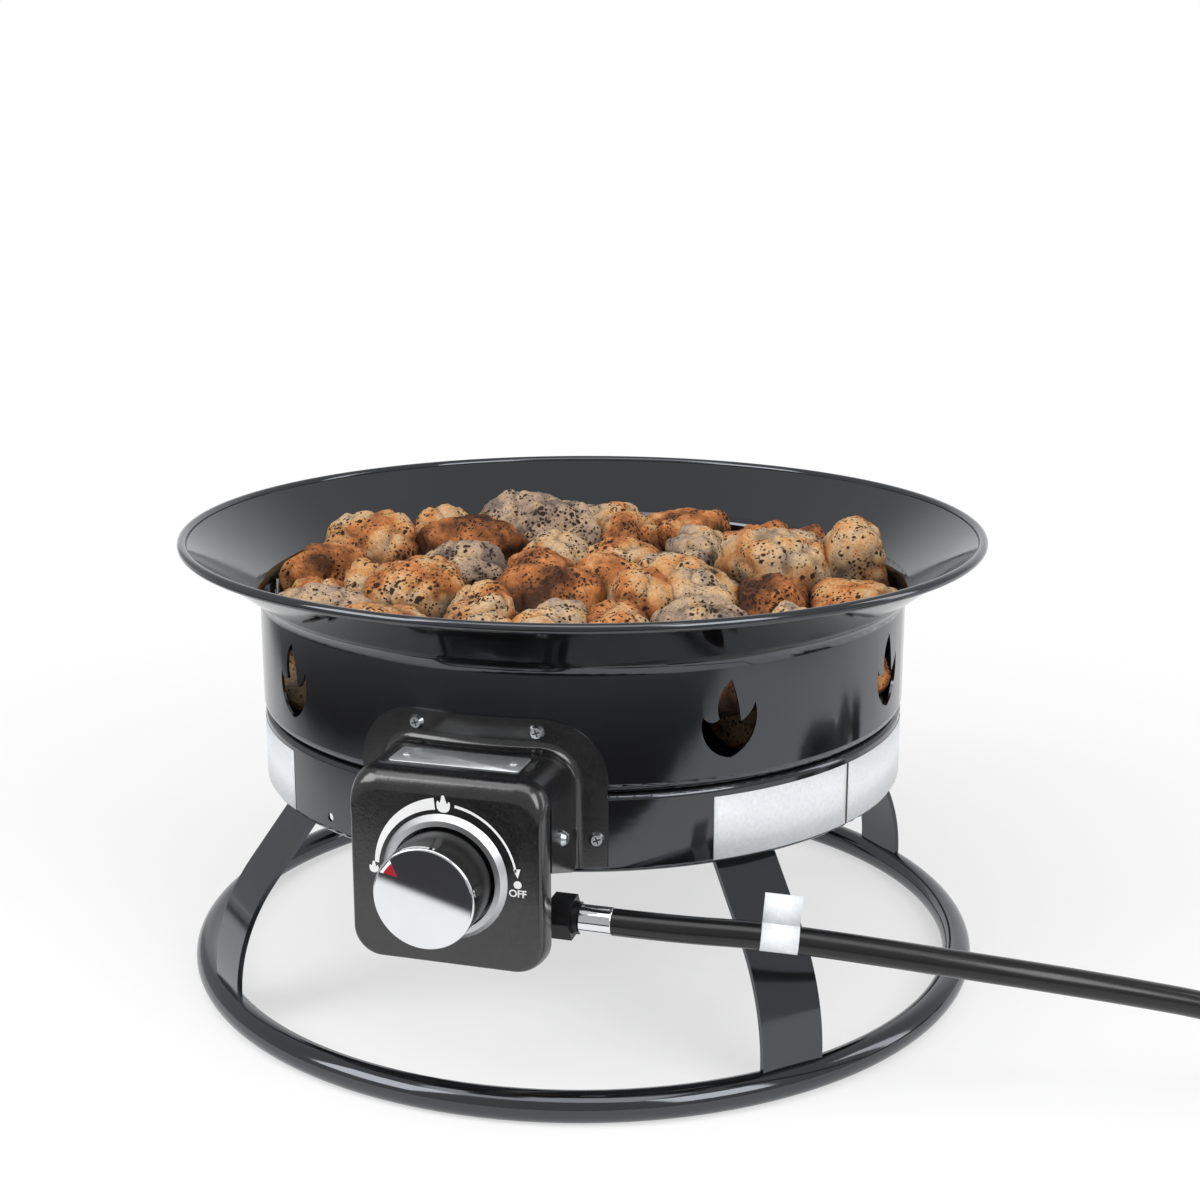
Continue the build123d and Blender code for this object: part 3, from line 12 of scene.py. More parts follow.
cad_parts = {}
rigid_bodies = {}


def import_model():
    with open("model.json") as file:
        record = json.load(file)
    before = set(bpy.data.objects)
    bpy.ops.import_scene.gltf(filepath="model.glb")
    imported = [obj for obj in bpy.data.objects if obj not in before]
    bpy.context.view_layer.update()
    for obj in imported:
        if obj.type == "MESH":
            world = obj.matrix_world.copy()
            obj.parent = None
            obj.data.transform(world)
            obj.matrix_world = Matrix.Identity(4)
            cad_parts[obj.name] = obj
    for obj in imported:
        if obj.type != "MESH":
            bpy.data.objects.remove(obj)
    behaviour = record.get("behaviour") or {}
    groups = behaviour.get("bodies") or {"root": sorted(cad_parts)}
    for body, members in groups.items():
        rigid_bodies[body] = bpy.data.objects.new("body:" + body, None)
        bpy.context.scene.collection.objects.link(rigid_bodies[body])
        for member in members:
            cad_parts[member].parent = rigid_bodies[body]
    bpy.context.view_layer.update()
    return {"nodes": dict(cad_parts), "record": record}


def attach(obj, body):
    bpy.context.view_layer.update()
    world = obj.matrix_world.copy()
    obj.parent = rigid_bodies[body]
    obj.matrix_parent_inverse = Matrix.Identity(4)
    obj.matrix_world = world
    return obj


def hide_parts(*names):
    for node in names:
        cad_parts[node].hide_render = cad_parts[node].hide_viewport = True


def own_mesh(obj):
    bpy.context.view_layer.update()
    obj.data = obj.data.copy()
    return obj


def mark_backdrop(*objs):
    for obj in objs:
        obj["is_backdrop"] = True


for thing in list(bpy.data.objects):
    bpy.data.objects.remove(thing)
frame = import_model()
nodes = frame["nodes"]
scene = bpy.context.scene

MM = 0.001
UP = Vector((0, 0, 1))
KNOB_HEIGHT = 136 * MM

# Camera, fitted to the ellipses of the rim, drum and base ring
camera = bpy.data.objects.new("camera", bpy.data.cameras.new("camera"))
camera.data.sensor_width = 36
camera.data.lens = 56.73
camera.location = (0.325, -1.0764, 0.5045)
camera.rotation_euler = (math.radians(75.86), 0, math.radians(16.28))
scene.collection.objects.link(camera)
scene.camera = camera


def srgb(code):
    """Linear colour of an sRGB hex value."""
    channels = [int(code[i:i + 2], 16) / 255 for i in (0, 2, 4)]
    return (*[c / 12.92 if c <= 0.04045 else ((c + 0.055) / 1.055) ** 2.4 for c in channels], 1.0)


def add(material, kind, settings, inputs):
    """A node of a material, with its settings, and its inputs set or linked."""
    tree = material.node_tree
    node = tree.nodes.new(kind)
    for name, value in settings.items():
        setattr(node, name, value)
    for name, value in inputs.items():
        if isinstance(value, bpy.types.NodeSocket):
            tree.links.new(value, node.inputs[name])
        else:
            node.inputs[name].default_value = value
    return node


def blank(name):
    """A material with nothing in it but its output, its surface socket and the place on the object."""
    material = bpy.data.materials.new(name)
    material.use_nodes = True
    material.node_tree.nodes.clear()
    output = add(material, "ShaderNodeOutputMaterial", {}, {})
    place = add(material, "ShaderNodeTexCoord", {}, {}).outputs["Object"]
    return material, output.inputs["Surface"], place


def close(material, surface, shader):
    """Links the finished shader to the material's output."""
    material.node_tree.links.new(shader.outputs[0], surface)
    return material


def knob_radius(material, place):
    """Distance from the knob's axis, for patterns that run around it."""
    centre = add(material, "ShaderNodeMapping", {}, {"Vector": place, "Location": (0, 0, -KNOB_HEIGHT)})
    flat = add(material, "ShaderNodeVectorMath", {"operation": "MULTIPLY"}, {
        0: centre.outputs[0], 1: (1, 0, 1)})
    radius = add(material, "ShaderNodeVectorMath", {"operation": "LENGTH"}, {0: flat.outputs[0]})
    return radius.outputs["Value"]


def gloss_enamel():
    """Baked gloss enamel on pressed steel: deep black, sharp cool reflections, a faint orange peel."""
    material, surface, place = blank("gloss_enamel")
    peel_width, haze_width = 7 * MM, 60 * MM
    peel = add(material, "ShaderNodeTexNoise", {}, {"Vector": place, "Scale": 1 / peel_width, "Detail": 2})
    haze = add(material, "ShaderNodeTexNoise", {}, {"Vector": place, "Scale": 1 / haze_width, "Detail": 6})
    rough = add(material, "ShaderNodeMapRange", {}, {
        "Value": haze.outputs[0], "From Min": 0.3, "From Max": 0.75, "To Min": 0.05, "To Max": 0.16})
    bump = add(material, "ShaderNodeBump", {}, {
        "Height": peel.outputs[0], "Strength": 0.06, "Distance": 0.3 * MM})
    shader = add(material, "ShaderNodeBsdfPrincipled", {}, {
        "Base Color": srgb("111112"), "Roughness": rough.outputs[0], "Normal": bump.outputs[0], "IOR": 1.88,
        "Specular Tint": srgb("E4EAF4")})
    return close(material, surface, shader)


def powder_coat():
    """Powder coat: satin black with a fine even grain of melted grit, which spreads the highlights."""
    material, surface, place = blank("powder_coat")
    # Grit of about 0.3 mm, drawn at 1.2 mm so that it shows
    grit_width, wear_width = 1.2 * MM, 25 * MM
    grit = add(material, "ShaderNodeTexNoise", {}, {"Vector": place, "Scale": 1 / grit_width, "Detail": 3})
    spread = add(material, "ShaderNodeMapRange", {}, {
        "Value": grit.outputs[0], "From Min": 0.3, "From Max": 0.7})
    wear = add(material, "ShaderNodeTexNoise", {}, {"Vector": place, "Scale": 1 / wear_width, "Detail": 5})
    rough = add(material, "ShaderNodeMapRange", {}, {
        "Value": wear.outputs[0], "From Min": 0.3, "From Max": 0.7, "To Min": 0.13, "To Max": 0.23})
    tone = add(material, "ShaderNodeMix", {"data_type": "RGBA"}, {
        0: spread.outputs[0], 6: srgb("09090A"), 7: srgb("232324")})
    bump = add(material, "ShaderNodeBump", {}, {
        "Height": grit.outputs[0], "Strength": 0.25, "Distance": 0.15 * MM})
    shader = add(material, "ShaderNodeBsdfPrincipled", {}, {
        "Base Color": tone.outputs[2], "Roughness": rough.outputs[0], "Normal": bump.outputs[0], "IOR": 1.7})
    return close(material, surface, shader)


def metal(name, light, dark, roughness, grain, depth, metallic=1.0):
    """Bare or plated metal: two close tones in patches, and fine tool marks, grain mm apart, in its bump."""
    material, surface, place = blank(name)
    mark_width = grain * MM
    patch = add(material, "ShaderNodeTexNoise", {}, {
        "Vector": place, "Scale": 1 / (6 * mark_width), "Detail": 5})
    marks = add(material, "ShaderNodeTexNoise", {}, {"Vector": place, "Scale": 1 / mark_width, "Detail": 4})
    tone = add(material, "ShaderNodeMix", {"data_type": "RGBA"}, {
        0: patch.outputs[0], 6: srgb(dark), 7: srgb(light)})
    rough = add(material, "ShaderNodeMapRange", {}, {
        "Value": patch.outputs[0], "To Min": roughness * 0.7, "To Max": roughness * 1.3})
    bump = add(material, "ShaderNodeBump", {}, {
        "Height": marks.outputs[0], "Strength": depth, "Distance": 0.1 * MM})
    shader = add(material, "ShaderNodeBsdfPrincipled", {}, {
        "Base Color": tone.outputs[2], "Roughness": rough.outputs[0], "Normal": bump.outputs[0],
        "Metallic": metallic})
    return close(material, surface, shader)


def spun_silver():
    """Spun aluminium, satin anodised: fine rings around the knob's axis that pull the light into fans."""
    material, surface, place = blank("spun_silver")
    # Turning marks of about 0.1 mm, drawn at 0.5 mm so that they show
    mark_width = 0.5 * MM
    rings = add(material, "ShaderNodeTexNoise", {"noise_dimensions": "1D"}, {
        "W": knob_radius(material, place), "Scale": 1 / mark_width, "Detail": 3})
    rough = add(material, "ShaderNodeMapRange", {}, {
        "Value": rings.outputs[0], "To Min": 0.28, "To Max": 0.46})
    bump = add(material, "ShaderNodeBump", {}, {
        "Height": rings.outputs[0], "Strength": 0.12, "Distance": 0.08 * MM})
    shader = add(material, "ShaderNodeBsdfPrincipled", {}, {
        "Base Color": srgb("D9DADC"), "Metallic": 1.0, "Roughness": rough.outputs[0],
        "Normal": bump.outputs[0]})
    return close(material, surface, shader)


def moulded_black(name, tone, roughness, grain):
    """Moulded black plastic or rubber: soft reflections over the spark grain of its mould, grain mm wide."""
    material, surface, place = blank(name)
    spark_width, handling_width = grain * MM, 18 * MM
    spark = add(material, "ShaderNodeTexNoise", {}, {"Vector": place, "Scale": 1 / spark_width, "Detail": 3})
    handling = add(material, "ShaderNodeTexNoise", {}, {
        "Vector": place, "Scale": 1 / handling_width, "Detail": 4})
    rough = add(material, "ShaderNodeMapRange", {}, {
        "Value": handling.outputs[0], "From Min": 0.3, "From Max": 0.7,
        "To Min": roughness * 0.8, "To Max": roughness * 1.2})
    bump = add(material, "ShaderNodeBump", {}, {
        "Height": spark.outputs[0], "Strength": 0.2, "Distance": 0.1 * MM})
    shader = add(material, "ShaderNodeBsdfPrincipled", {}, {
        "Base Color": srgb(tone), "Roughness": rough.outputs[0], "Normal": bump.outputs[0], "IOR": 1.5})
    return close(material, surface, shader)


def pointer_paint():
    """Red lacquer of the pointer, with a white line along its edge at the knob's rim."""
    material, surface, place = blank("pointer_lacquer")
    rim = add(material, "ShaderNodeMapRange", {}, {
        "Value": knob_radius(material, place), "From Min": 23.4 * MM, "From Max": 23.6 * MM})
    tone = add(material, "ShaderNodeMix", {"data_type": "RGBA"}, {
        0: rim.outputs[0], 6: srgb("A00E1E"), 7: srgb("F4F4F2")})
    shader = add(material, "ShaderNodeBsdfPrincipled", {}, {
        "Base Color": tone.outputs[2], "Roughness": 0.25})
    return close(material, surface, shader)


def printed_paper(name, tone, roughness):
    """Coated label stock or screen ink: white, faintly mottled by its fibres, with a soft sheen."""
    material, surface, place = blank(name)
    fibre_width = 2 * MM
    fibre = add(material, "ShaderNodeTexNoise", {}, {"Vector": place, "Scale": 1 / fibre_width, "Detail": 4})
    mottle = add(material, "ShaderNodeMix", {"data_type": "RGBA"}, {
        0: fibre.outputs[0], 6: srgb(tone), 7: srgb("F6F7F8")})
    bump = add(material, "ShaderNodeBump", {}, {
        "Height": fibre.outputs[0], "Strength": 0.05, "Distance": 0.05 * MM})
    shader = add(material, "ShaderNodeBsdfPrincipled", {}, {
        "Base Color": mottle.outputs[2], "Roughness": roughness, "Normal": bump.outputs[0]})
    return close(material, surface, shader)


# Lava rock from dark brown through tan to grey, and its pores: mm apart, least and most spread of each
STONE_TONES = (
    (0.0, "4A2C1A"), (0.18, "84502C"), (0.36, "B5713F"), (0.5, "C4925F"), (0.64, "C3A580"),
    (0.8, "A8907A"), (1.0, "75675D"),
)
STONE_PORES = ((6.4, 0.10, 0.21), (4.0, 0.10, 0.23), (2.6, 0.10, 0.26))


def lava_stone():
    """Scoria, tumbled: dry and matt, tan to brown by the stone, with painted shade in its pores, hollows,
    clefts and undersides.

    Its colour attribute holds each rock's tone, how far a point is out of hollows and clefts, and how high
    it sits in the rock.
    """
    material, surface, place = blank("lava_stone")
    rock = add(material, "ShaderNodeAttribute", {"attribute_name": "rock_tone_and_shade"}, {})
    shares = add(material, "ShaderNodeSeparateColor", {}, {"Color": rock.outputs["Color"]})
    tone, exposed, height_in_rock = shares.outputs[0], shares.outputs[1], shares.outputs[2]
    cloud_width, warp_width, crowd_width, grain_width = 24 * MM, 5 * MM, 17 * MM, 1.6 * MM

    clouds = add(material, "ShaderNodeTexNoise", {}, {
        "Vector": place, "Scale": 1 / cloud_width, "Detail": 6, "Roughness": 0.58})
    shift = add(material, "ShaderNodeMath", {"operation": "MULTIPLY_ADD"}, {
        0: clouds.outputs[0], 1: 1.6, 2: -0.8})
    where = add(material, "ShaderNodeMath", {"operation": "ADD", "use_clamp": True}, {
        0: tone, 1: shift.outputs[0]})
    ramp = add(material, "ShaderNodeValToRGB", {}, {"Fac": where.outputs[0]})
    stops = ramp.color_ramp.elements
    stops.remove(stops[1])
    stops[0].color = srgb(STONE_TONES[0][1])
    for spot, code in STONE_TONES[1:]:
        stops.new(spot).color = srgb(code)

    # Pores of 1 to 2 mm, drawn out by a warp so that none is round, and crowded in places
    warp = add(material, "ShaderNodeTexNoise", {}, {"Vector": place, "Scale": 1 / warp_width, "Detail": 2})
    bent = add(material, "ShaderNodeMix", {"data_type": "RGBA", "blend_type": "LINEAR_LIGHT"}, {
        0: 1.6 * MM, 6: place, 7: warp.outputs["Color"]})
    crowd = add(material, "ShaderNodeTexNoise", {}, {"Vector": place, "Scale": 1 / crowd_width, "Detail": 2})
    dense = add(material, "ShaderNodeMapRange", {}, {
        "Value": crowd.outputs[0], "From Min": 0.36, "From Max": 0.64, "To Min": -0.1, "To Max": 0.12})
    depths = []
    for size, least, most in STONE_PORES:
        cells = add(material, "ShaderNodeTexVoronoi", {}, {
            "Vector": bent.outputs[2], "Scale": 1 / (size * MM)})
        closer = add(material, "ShaderNodeMath", {"operation": "SUBTRACT"}, {
            0: cells.outputs["Distance"], 1: dense.outputs[0]})
        depths.append(add(material, "ShaderNodeMapRange", {"interpolation_type": "SMOOTHSTEP"}, {
            "Value": closer.outputs[0], "From Min": least, "From Max": most}).outputs[0])
    large = add(material, "ShaderNodeMath", {"operation": "MULTIPLY"}, {0: depths[0], 1: depths[1]})
    height = add(material, "ShaderNodeMath", {"operation": "MULTIPLY"}, {0: large.outputs[0], 1: depths[2]})

    grain = add(material, "ShaderNodeTexNoise", {}, {"Vector": place, "Scale": 1 / grain_width, "Detail": 5})
    speck = add(material, "ShaderNodeMapRange", {}, {
        "Value": grain.outputs[0], "From Min": 0.3, "From Max": 0.7, "To Min": 0.72, "To Max": 1.16})
    dry = add(material, "ShaderNodeMix", {"data_type": "RGBA", "blend_type": "MULTIPLY"}, {
        0: 1.0, 6: ramp.outputs[0], 7: speck.outputs[0]})
    # Painted shade: each rock darkens towards its underside, by how high the point sits in it
    underside_shade = add(material, "ShaderNodeMapRange", {"interpolation_type": "SMOOTHSTEP"}, {
        "Value": height_in_rock, "From Min": 0.25, "From Max": 0.86, "To Min": 0.06, "To Max": 1.0})
    underside_shaded = add(material, "ShaderNodeMix", {"data_type": "RGBA"}, {
        0: underside_shade.outputs[0], 6: srgb("2B211B"), 7: dry.outputs[2]})
    # Painted shade: dark brown in the pores, and in the hollows and clefts of the rock's shape
    clear_of_pit_shade = add(material, "ShaderNodeMath", {"operation": "MULTIPLY"}, {
        0: height.outputs[0], 1: exposed})
    pitted = add(material, "ShaderNodeMix", {"data_type": "RGBA"}, {
        0: clear_of_pit_shade.outputs[0], 6: srgb("2E1D14"), 7: underside_shaded.outputs[2]})
    rough_grain = add(material, "ShaderNodeMath", {"operation": "MULTIPLY_ADD"}, {
        0: grain.outputs[0], 1: 0.4, 2: height.outputs[0]})
    bump = add(material, "ShaderNodeBump", {}, {
        "Height": rough_grain.outputs[0], "Strength": 0.9, "Distance": 1.4 * MM})
    shader = add(material, "ShaderNodeBsdfPrincipled", {}, {
        "Base Color": pitted.outputs[2], "Roughness": 0.9, "Normal": bump.outputs[0],
        "Specular IOR Level": 0.3})
    return close(material, surface, shader)


enamel = gloss_enamel()
powder = powder_coat()
zinc = metal("zinc_plate", "DCDFE1", "B4B8BB", 0.22, 1.0, 0.15)
burner_steel = metal("dulled_stainless", "9C9893", "6A5F57", 0.42, 1.5, 0.2)
silver = spun_silver()
mirror = metal("polished_chrome", "E9EAEC", "DCDDE0", 0.035, 4.0, 0.01)
cast_metal = metal("cast_aluminium", "B4B5B6", "8F9193", 0.45, 0.9, 0.4)
brass = metal("turned_brass", "C9A35A", "A8833E", 0.28, 0.8, 0.15)
oxide = metal("black_oxide", "2E2E30", "17171A", 0.4, 1.0, 0.25, 0.6)
lacquer = metal("grey_lacquer", "8D9194", "777B7E", 0.4, 1.2, 0.25, 0.4)
knob_plastic = moulded_black("knob_phenolic", "1A1A1B", 0.24, 0.6)
tie_plastic = moulded_black("tie_nylon", "161616", 0.45, 0.8)
rubber = moulded_black("hose_rubber", "101011", 0.24, 0.9)
pointer_lacquer = pointer_paint()
ink = printed_paper("screen_ink", "F2F2F0", 0.5)
label_stock = printed_paper("label_stock", "D3D9E0", 0.38)
# Flat dark colour for the screws' cross recesses: painted shade
recess_shade = moulded_black("screw_recess_shade", "0B0B0B", 0.6, 0.5)
stone = lava_stone()

finishes = {
    "black_enamel": enamel, "zinc_steel": zinc, "burner_steel": burner_steel, "satin_silver": silver,
    "mirror_chrome": mirror, "knob_black": knob_plastic, "pointer_red": pointer_lacquer,
    "valve_aluminium": cast_metal, "brass": brass, "fitting_black": oxide, "hose_rubber": rubber,
    "tie_black": tie_plastic, "regulator_grey": lacquer, "lava_rock": stone,
}
for part in frame["record"]["subparts"]:
    for spot in nodes[part["node"]].material_slots:
        spot.material = finishes[part["material_slot"]]
for name in ("control_housing", "mounting_hood"):
    for spot in nodes[name].material_slots:
        spot.material = powder


def piece(name, shell, material, body="fire_pit", smooth=True):
    """A finished piece from a bmesh, riding on its body."""
    for face in shell.faces:
        face.smooth = smooth
    mesh = bpy.data.meshes.new(name)
    shell.to_mesh(mesh)
    shell.free()
    mesh.materials.append(material)
    made = bpy.data.objects.new(name, mesh)
    scene.collection.objects.link(made)
    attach(made, body)
    return made


def corner(shell, place):
    """A new corner of a bmesh."""
    return bmesh.ops.create_vert(shell, co=place)["vert"][0]


def return_spring():
    """Spring behind the knob, which on the real valve shortens as the knob is pushed in; here a merged copy
    of the CAD spring, riding on the plug.
    """
    shell = bmesh.new()
    shell.from_mesh(nodes["valve_spring"].data)
    bmesh.ops.remove_doubles(shell, verts=shell.verts, dist=1e-6)
    spring = piece("return_spring", shell, zinc, body="plug")
    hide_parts("valve_spring")
    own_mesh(spring)


return_spring()

# Gas hose: the free stretch from the control box down to the floor, in mm, then the coil
HOSE = 14.3 * MM
PITCH = 15.7 * MM
COIL_RADIUS = 90 * MM
TAIL = 42 * MM
HALF_TURN_POINTS = 8
route = [
    (78, -205, 105), (110, -205, 105), (153, -195.5, 103), (203, -187, 98), (256, -177.5, 91.5),
    (300, -166, 84.5), (340, -150, 75), (378, -134, 65), (417, -118, 48.5), (456, -102, 28.5),
    (495, -86, 13.5), (532, -71, 8.9), (562, -58.6, 8.9),
]
hose_points = [Vector(p) * MM for p in route]
ahead = (hose_points[-1] - hose_points[-2]).normalized()
aside = ahead.cross(UP)
coil_middle = hose_points[-1] + ahead * HOSE - aside * COIL_RADIUS


def coil_point(out, along, rise):
    """A point of the coil from its middle: sideways, forwards and up."""
    return coil_middle + aside * out + ahead * along + UP * rise


# Half turns wind inwards on the floor, climb one pitch, and wind outwards on top
turns = [(COIL_RADIUS - PITCH / 2 * half, 0) for half in range(5)]
turns += [(turns[-1][0] - PITCH / 4, PITCH)]
turns += [(turns[4][0] + PITCH / 2 * half, PITCH) for half in range(1, 6)]
step = math.pi / HALF_TURN_POINTS
widen = math.cos(step / 2)
for half, (first, second) in enumerate(zip(turns, turns[1:])):
    hand = 1 if half % 2 == 0 else -1
    radius = (first[0] + second[0]) / 2
    for place in range(HALF_TURN_POINTS):
        angle = step * (place + 0.5)
        rise = first[1] + (second[1] - first[1]) * (1 - math.cos(angle)) / 2
        out = hand * ((first[0] - second[0]) / 2 + radius / widen * math.cos(angle))
        hose_points.append(coil_point(out, hand * radius / widen * math.sin(angle), rise))
# The last quarter turn leaves the coil and runs straight to the regulator
last = turns[-1][0]
leave = last + PITCH / 4
for place in range(HALF_TURN_POINTS // 2):
    angle = step * (place + 0.5)
    out = last - leave + leave / widen * math.cos(angle)
    hose_points.append(coil_point(out, leave / widen * math.sin(angle), PITCH))
hose_points.append(coil_point(last - leave - TAIL, leave, PITCH))

hose_line = bpy.data.curves.new("gas_hose_line", "CURVE")
hose_line.dimensions = "3D"
strand = hose_line.splines.new("NURBS")
strand.points.add(len(hose_points) - 1)
for spot, place in zip(strand.points, hose_points):
    spot.co = (*place, 1)
strand.order_u = 3
strand.use_endpoint_u = True
strand.resolution_u = 10
hose = bpy.data.objects.new("rubber_hose", hose_line)
scene.collection.objects.link(hose)
bare_line = bpy.data.meshes.new_from_object(hose.evaluated_get(bpy.context.evaluated_depsgraph_get()))
hose_track = [v.co.copy() for v in bare_line.vertices]
hose_line.bevel_depth = HOSE / 2
hose_line.bevel_resolution = 8
hose_line.use_fill_caps = True
hose_line.materials.append(rubber)
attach(hose, "fire_pit")
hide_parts("gas_hose", "hose_coil")


def hose_label():
    """Blank paper label wrapped round the hose, its two ends pressed together as a flag above it."""
    label_start, label_end = 149 * MM, 173 * MM
    flag_height, flag_lean = 15 * MM, 4 * MM
    shell = bmesh.new()
    near = [p for p in hose_track if label_start <= p.x <= label_end]
    ends = near[0], near[-1]
    along = (ends[1] - ends[0]).normalized()
    across = along.cross(UP).normalized()
    up = across.cross(along)
    wrap = HOSE / 2 + 0.25 * MM
    strip = [corner(shell, p + up * wrap) for p in ends]
    rule = shell.edges.new(strip)
    bmesh.ops.spin(
        shell, geom=[*strip, rule], cent=ends[0], axis=along, angle=2 * math.pi, steps=28, use_merge=True)
    crest = [corner(shell, p + up * (wrap - 0.2 * MM) - across * 0.5 * MM) for p in ends]
    ridge = shell.edges.new(crest)
    grown = bmesh.ops.extrude_edge_only(shell, edges=[ridge])["geom"]
    tips = [v for v in grown if isinstance(v, bmesh.types.BMVert)]
    bmesh.ops.translate(shell, verts=tips, vec=up * flag_height - across * flag_lean)
    bmesh.ops.recalc_face_normals(shell, faces=shell.faces)
    bmesh.ops.solidify(shell, geom=shell.faces[:], thickness=0.18 * MM)
    return piece("hose_label", shell, label_stock)


wrapped_label = hose_label()


def loose_parts(mesh):
    """The separate bodies of a CAD node: the corners of each, and its faces as rows of corner numbers."""
    shell = bmesh.new()
    shell.from_mesh(mesh)
    bmesh.ops.remove_doubles(shell, verts=shell.verts, dist=1e-6)
    waiting = dict.fromkeys(shell.faces)
    found = []
    while waiting:
        body, rim = [], [waiting.popitem()[0]]
        while rim:
            face = rim.pop()
            body.append(face)
            for edge in face.edges:
                for other in edge.link_faces:
                    if other in waiting:
                        del waiting[other]
                        rim.append(other)
        corners = list(dict.fromkeys(v for face in body for v in face.verts))
        number = {v: i for i, v in enumerate(corners)}
        found.append(([v.co.copy() for v in corners], [[number[v] for v in face.verts] for face in body]))
    shell.free()
    return sorted(found, key=lambda one: min(tuple(round(c, 5) for c in spot) for spot in one[0]))


# Where the rocks have to stop: the drum's wall, the foot of the flare, and the bowl's floor
ROCK_REACH = 192.5 * MM
FLARE_FOOT = 236 * MM
ROCK_FLOOR = 167 * MM
COARSE, FINE = 4, 5
ROCK_SWELL = 1.16
ROCK_SEED = 11
ROCK_TONES = (0.16, 0.27, 0.36, 0.42, 0.48, 0.54, 0.6, 0.68, 0.78)

# Forms on a rock: how wide each is, and how high or deep
LUMP_WIDTH, LUMP_HEIGHT = 30 * MM, 2.6 * MM
BUMP_WIDTH, BUMP_HEIGHT = 11 * MM, 1.7 * MM
CRUST_WIDTH, CRUST_HEIGHT = 7 * MM, 1.8 * MM
CLEFT_WIDTH, CLEFT_DEPTH = 21 * MM, 9 * MM
HOLLOW_WIDTH, HOLLOW_DEPTH = 9 * MM, 3.0 * MM


def lava_lump(shell, corners, faces, level, chance, tint):
    """One lava rock: a ball drawn out to its hull, chipped and worn, then cleft, roughened and pitted."""
    tree = BVHTree.FromPolygons(corners, faces)
    middle = sum(corners, Vector()) / len(corners)
    ball = bmesh.ops.create_icosphere(shell, subdivisions=level, radius=1)["verts"]
    rays = [v.co.normalized() for v in ball]
    for vert, ray in zip(ball, rays):
        vert.co = (tree.ray_cast(middle, ray)[0] or middle + ray * 10 * MM) - middle
    ease = {"verts": ball, "factor": 0.5, "use_axis_x": True, "use_axis_y": True, "use_axis_z": True}
    passes = 2 ** (level - COARSE)
    for _ in range(passes):
        bmesh.ops.smooth_vert(shell, **ease)
    bmesh.ops.scale(shell, verts=ball, vec=(ROCK_SWELL, ROCK_SWELL, ROCK_SWELL))
    for _ in range(chance.randint(5, 10)):
        flat = Vector((chance.gauss(0, 1), chance.gauss(0, 1), chance.gauss(0, 1))).normalized()
        most = max(vert.co.dot(flat) for vert in ball) * chance.uniform(0.62, 0.9)
        for vert in ball:
            past = vert.co.dot(flat) / most
            if past > 1:
                vert.co /= past
    for _ in range(chance.choice((1, 2, 3, 4)) * passes):
        bmesh.ops.smooth_vert(shell, **ease)
    base = min(vert.co.z for vert in ball)
    tall = max(vert.co.z for vert in ball) - base
    tone = chance.choice(ROCK_TONES) + chance.uniform(-0.04, 0.04)
    drift = Vector((chance.uniform(-9, 9), chance.uniform(-9, 9), chance.uniform(-9, 9)))
    for vert, ray in zip(ball, rays):
        spot = vert.co + drift
        # How high the point sits in its rock, for the painted shade on its underside; the coarse rocks get
        # none
        height_in_rock = (vert.co.z - base) / tall if level > COARSE else 1
        swell = noise.noise(spot / LUMP_WIDTH) * LUMP_HEIGHT + noise.noise(spot / BUMP_WIDTH) * BUMP_HEIGHT
        swell += (noise.turbulence(spot / CRUST_WIDTH, 3, True) - 0.5) * CRUST_HEIGHT
        cleft = min(0.3, abs(noise.noise(spot / CLEFT_WIDTH - drift)))
        swell += (cleft - 0.15) * CLEFT_DEPTH
        near = noise.voronoi(spot / HOLLOW_WIDTH + noise.noise_vector(spot / (5 * MM)) * 0.3)[0][0]
        hollow = max(0.0, 1 - near / 0.3) * max(0.0, noise.noise(spot / (18 * MM)) + 0.35)
        vert.co += middle + ray * (swell - hollow * HOLLOW_DEPTH)
        out = Vector((vert.co.x, vert.co.y, 0))
        wall = ROCK_REACH + max(0, vert.co.z - FLARE_FOOT)
        if out.length > wall:
            vert.co -= out * (1 - wall / out.length)
        vert.co.z = max(vert.co.z, ROCK_FLOOR)
        # How far the point is out of hollows and clefts, for the painted shade there
        exposed = (1 - 0.9 * min(1, hollow * 1.7)) * (0.4 + 0.6 * min(1, cleft / 0.1))
        vert[tint] = (tone, exposed, height_in_rock, 1)


chance = random.Random(ROCK_SEED)
# The hollows bend by vector noise, whose offset comes from the clock unless it is seeded
noise.seed_set(ROCK_SEED)
for group in ("left", "middle", "right", "lower"):
    shell = bmesh.new()
    tint = shell.verts.layers.float_color.new("rock_tone_and_shade")
    level = COARSE if group == "lower" else FINE
    for corners, faces in loose_parts(nodes["lava_rocks_" + group].data):
        lava_lump(shell, corners, faces, level, chance, tint)
    rocks = piece("lava_heap_" + group, shell, stone)
    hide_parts("lava_rocks_" + group)

SKIRT_SIDE = 194.36 * MM
LABEL_EDGES = (124 * MM, 159.5 * MM)


def wall_label(name, first, last):
    """Blank paper label on the skirt, between two angles from the control box, in degrees."""
    shell = bmesh.new()
    turn = math.radians(first)
    side = Vector((math.sin(turn), -math.cos(turn), 0)) * SKIRT_SIDE
    ends = [corner(shell, side + UP * height) for height in LABEL_EDGES]
    rule = shell.edges.new(ends)
    bmesh.ops.spin(
        shell, geom=[*ends, rule], cent=(0, 0, 0), axis=(0, 0, 1),
        angle=math.radians(last - first), steps=30)
    bmesh.ops.recalc_face_normals(shell, faces=shell.faces)
    for face in shell.faces:
        if face.normal.dot(face.calc_center_median() * Vector((1, 1, 0))) < 0:
            face.normal_flip()
    bmesh.ops.solidify(shell, geom=shell.faces[:], thickness=-0.12 * MM)
    return piece(name, shell, label_stock)


wall_label("skirt_label_right", 37.6, 65.6)
wall_label("skirt_label_far_right", 66.2, 96)
wall_label("skirt_label_left", -73, -41)

CROSS_SIZE = (4.0 * MM, 0.7 * MM, 0.12 * MM)
CROSS_TURN = 0.35


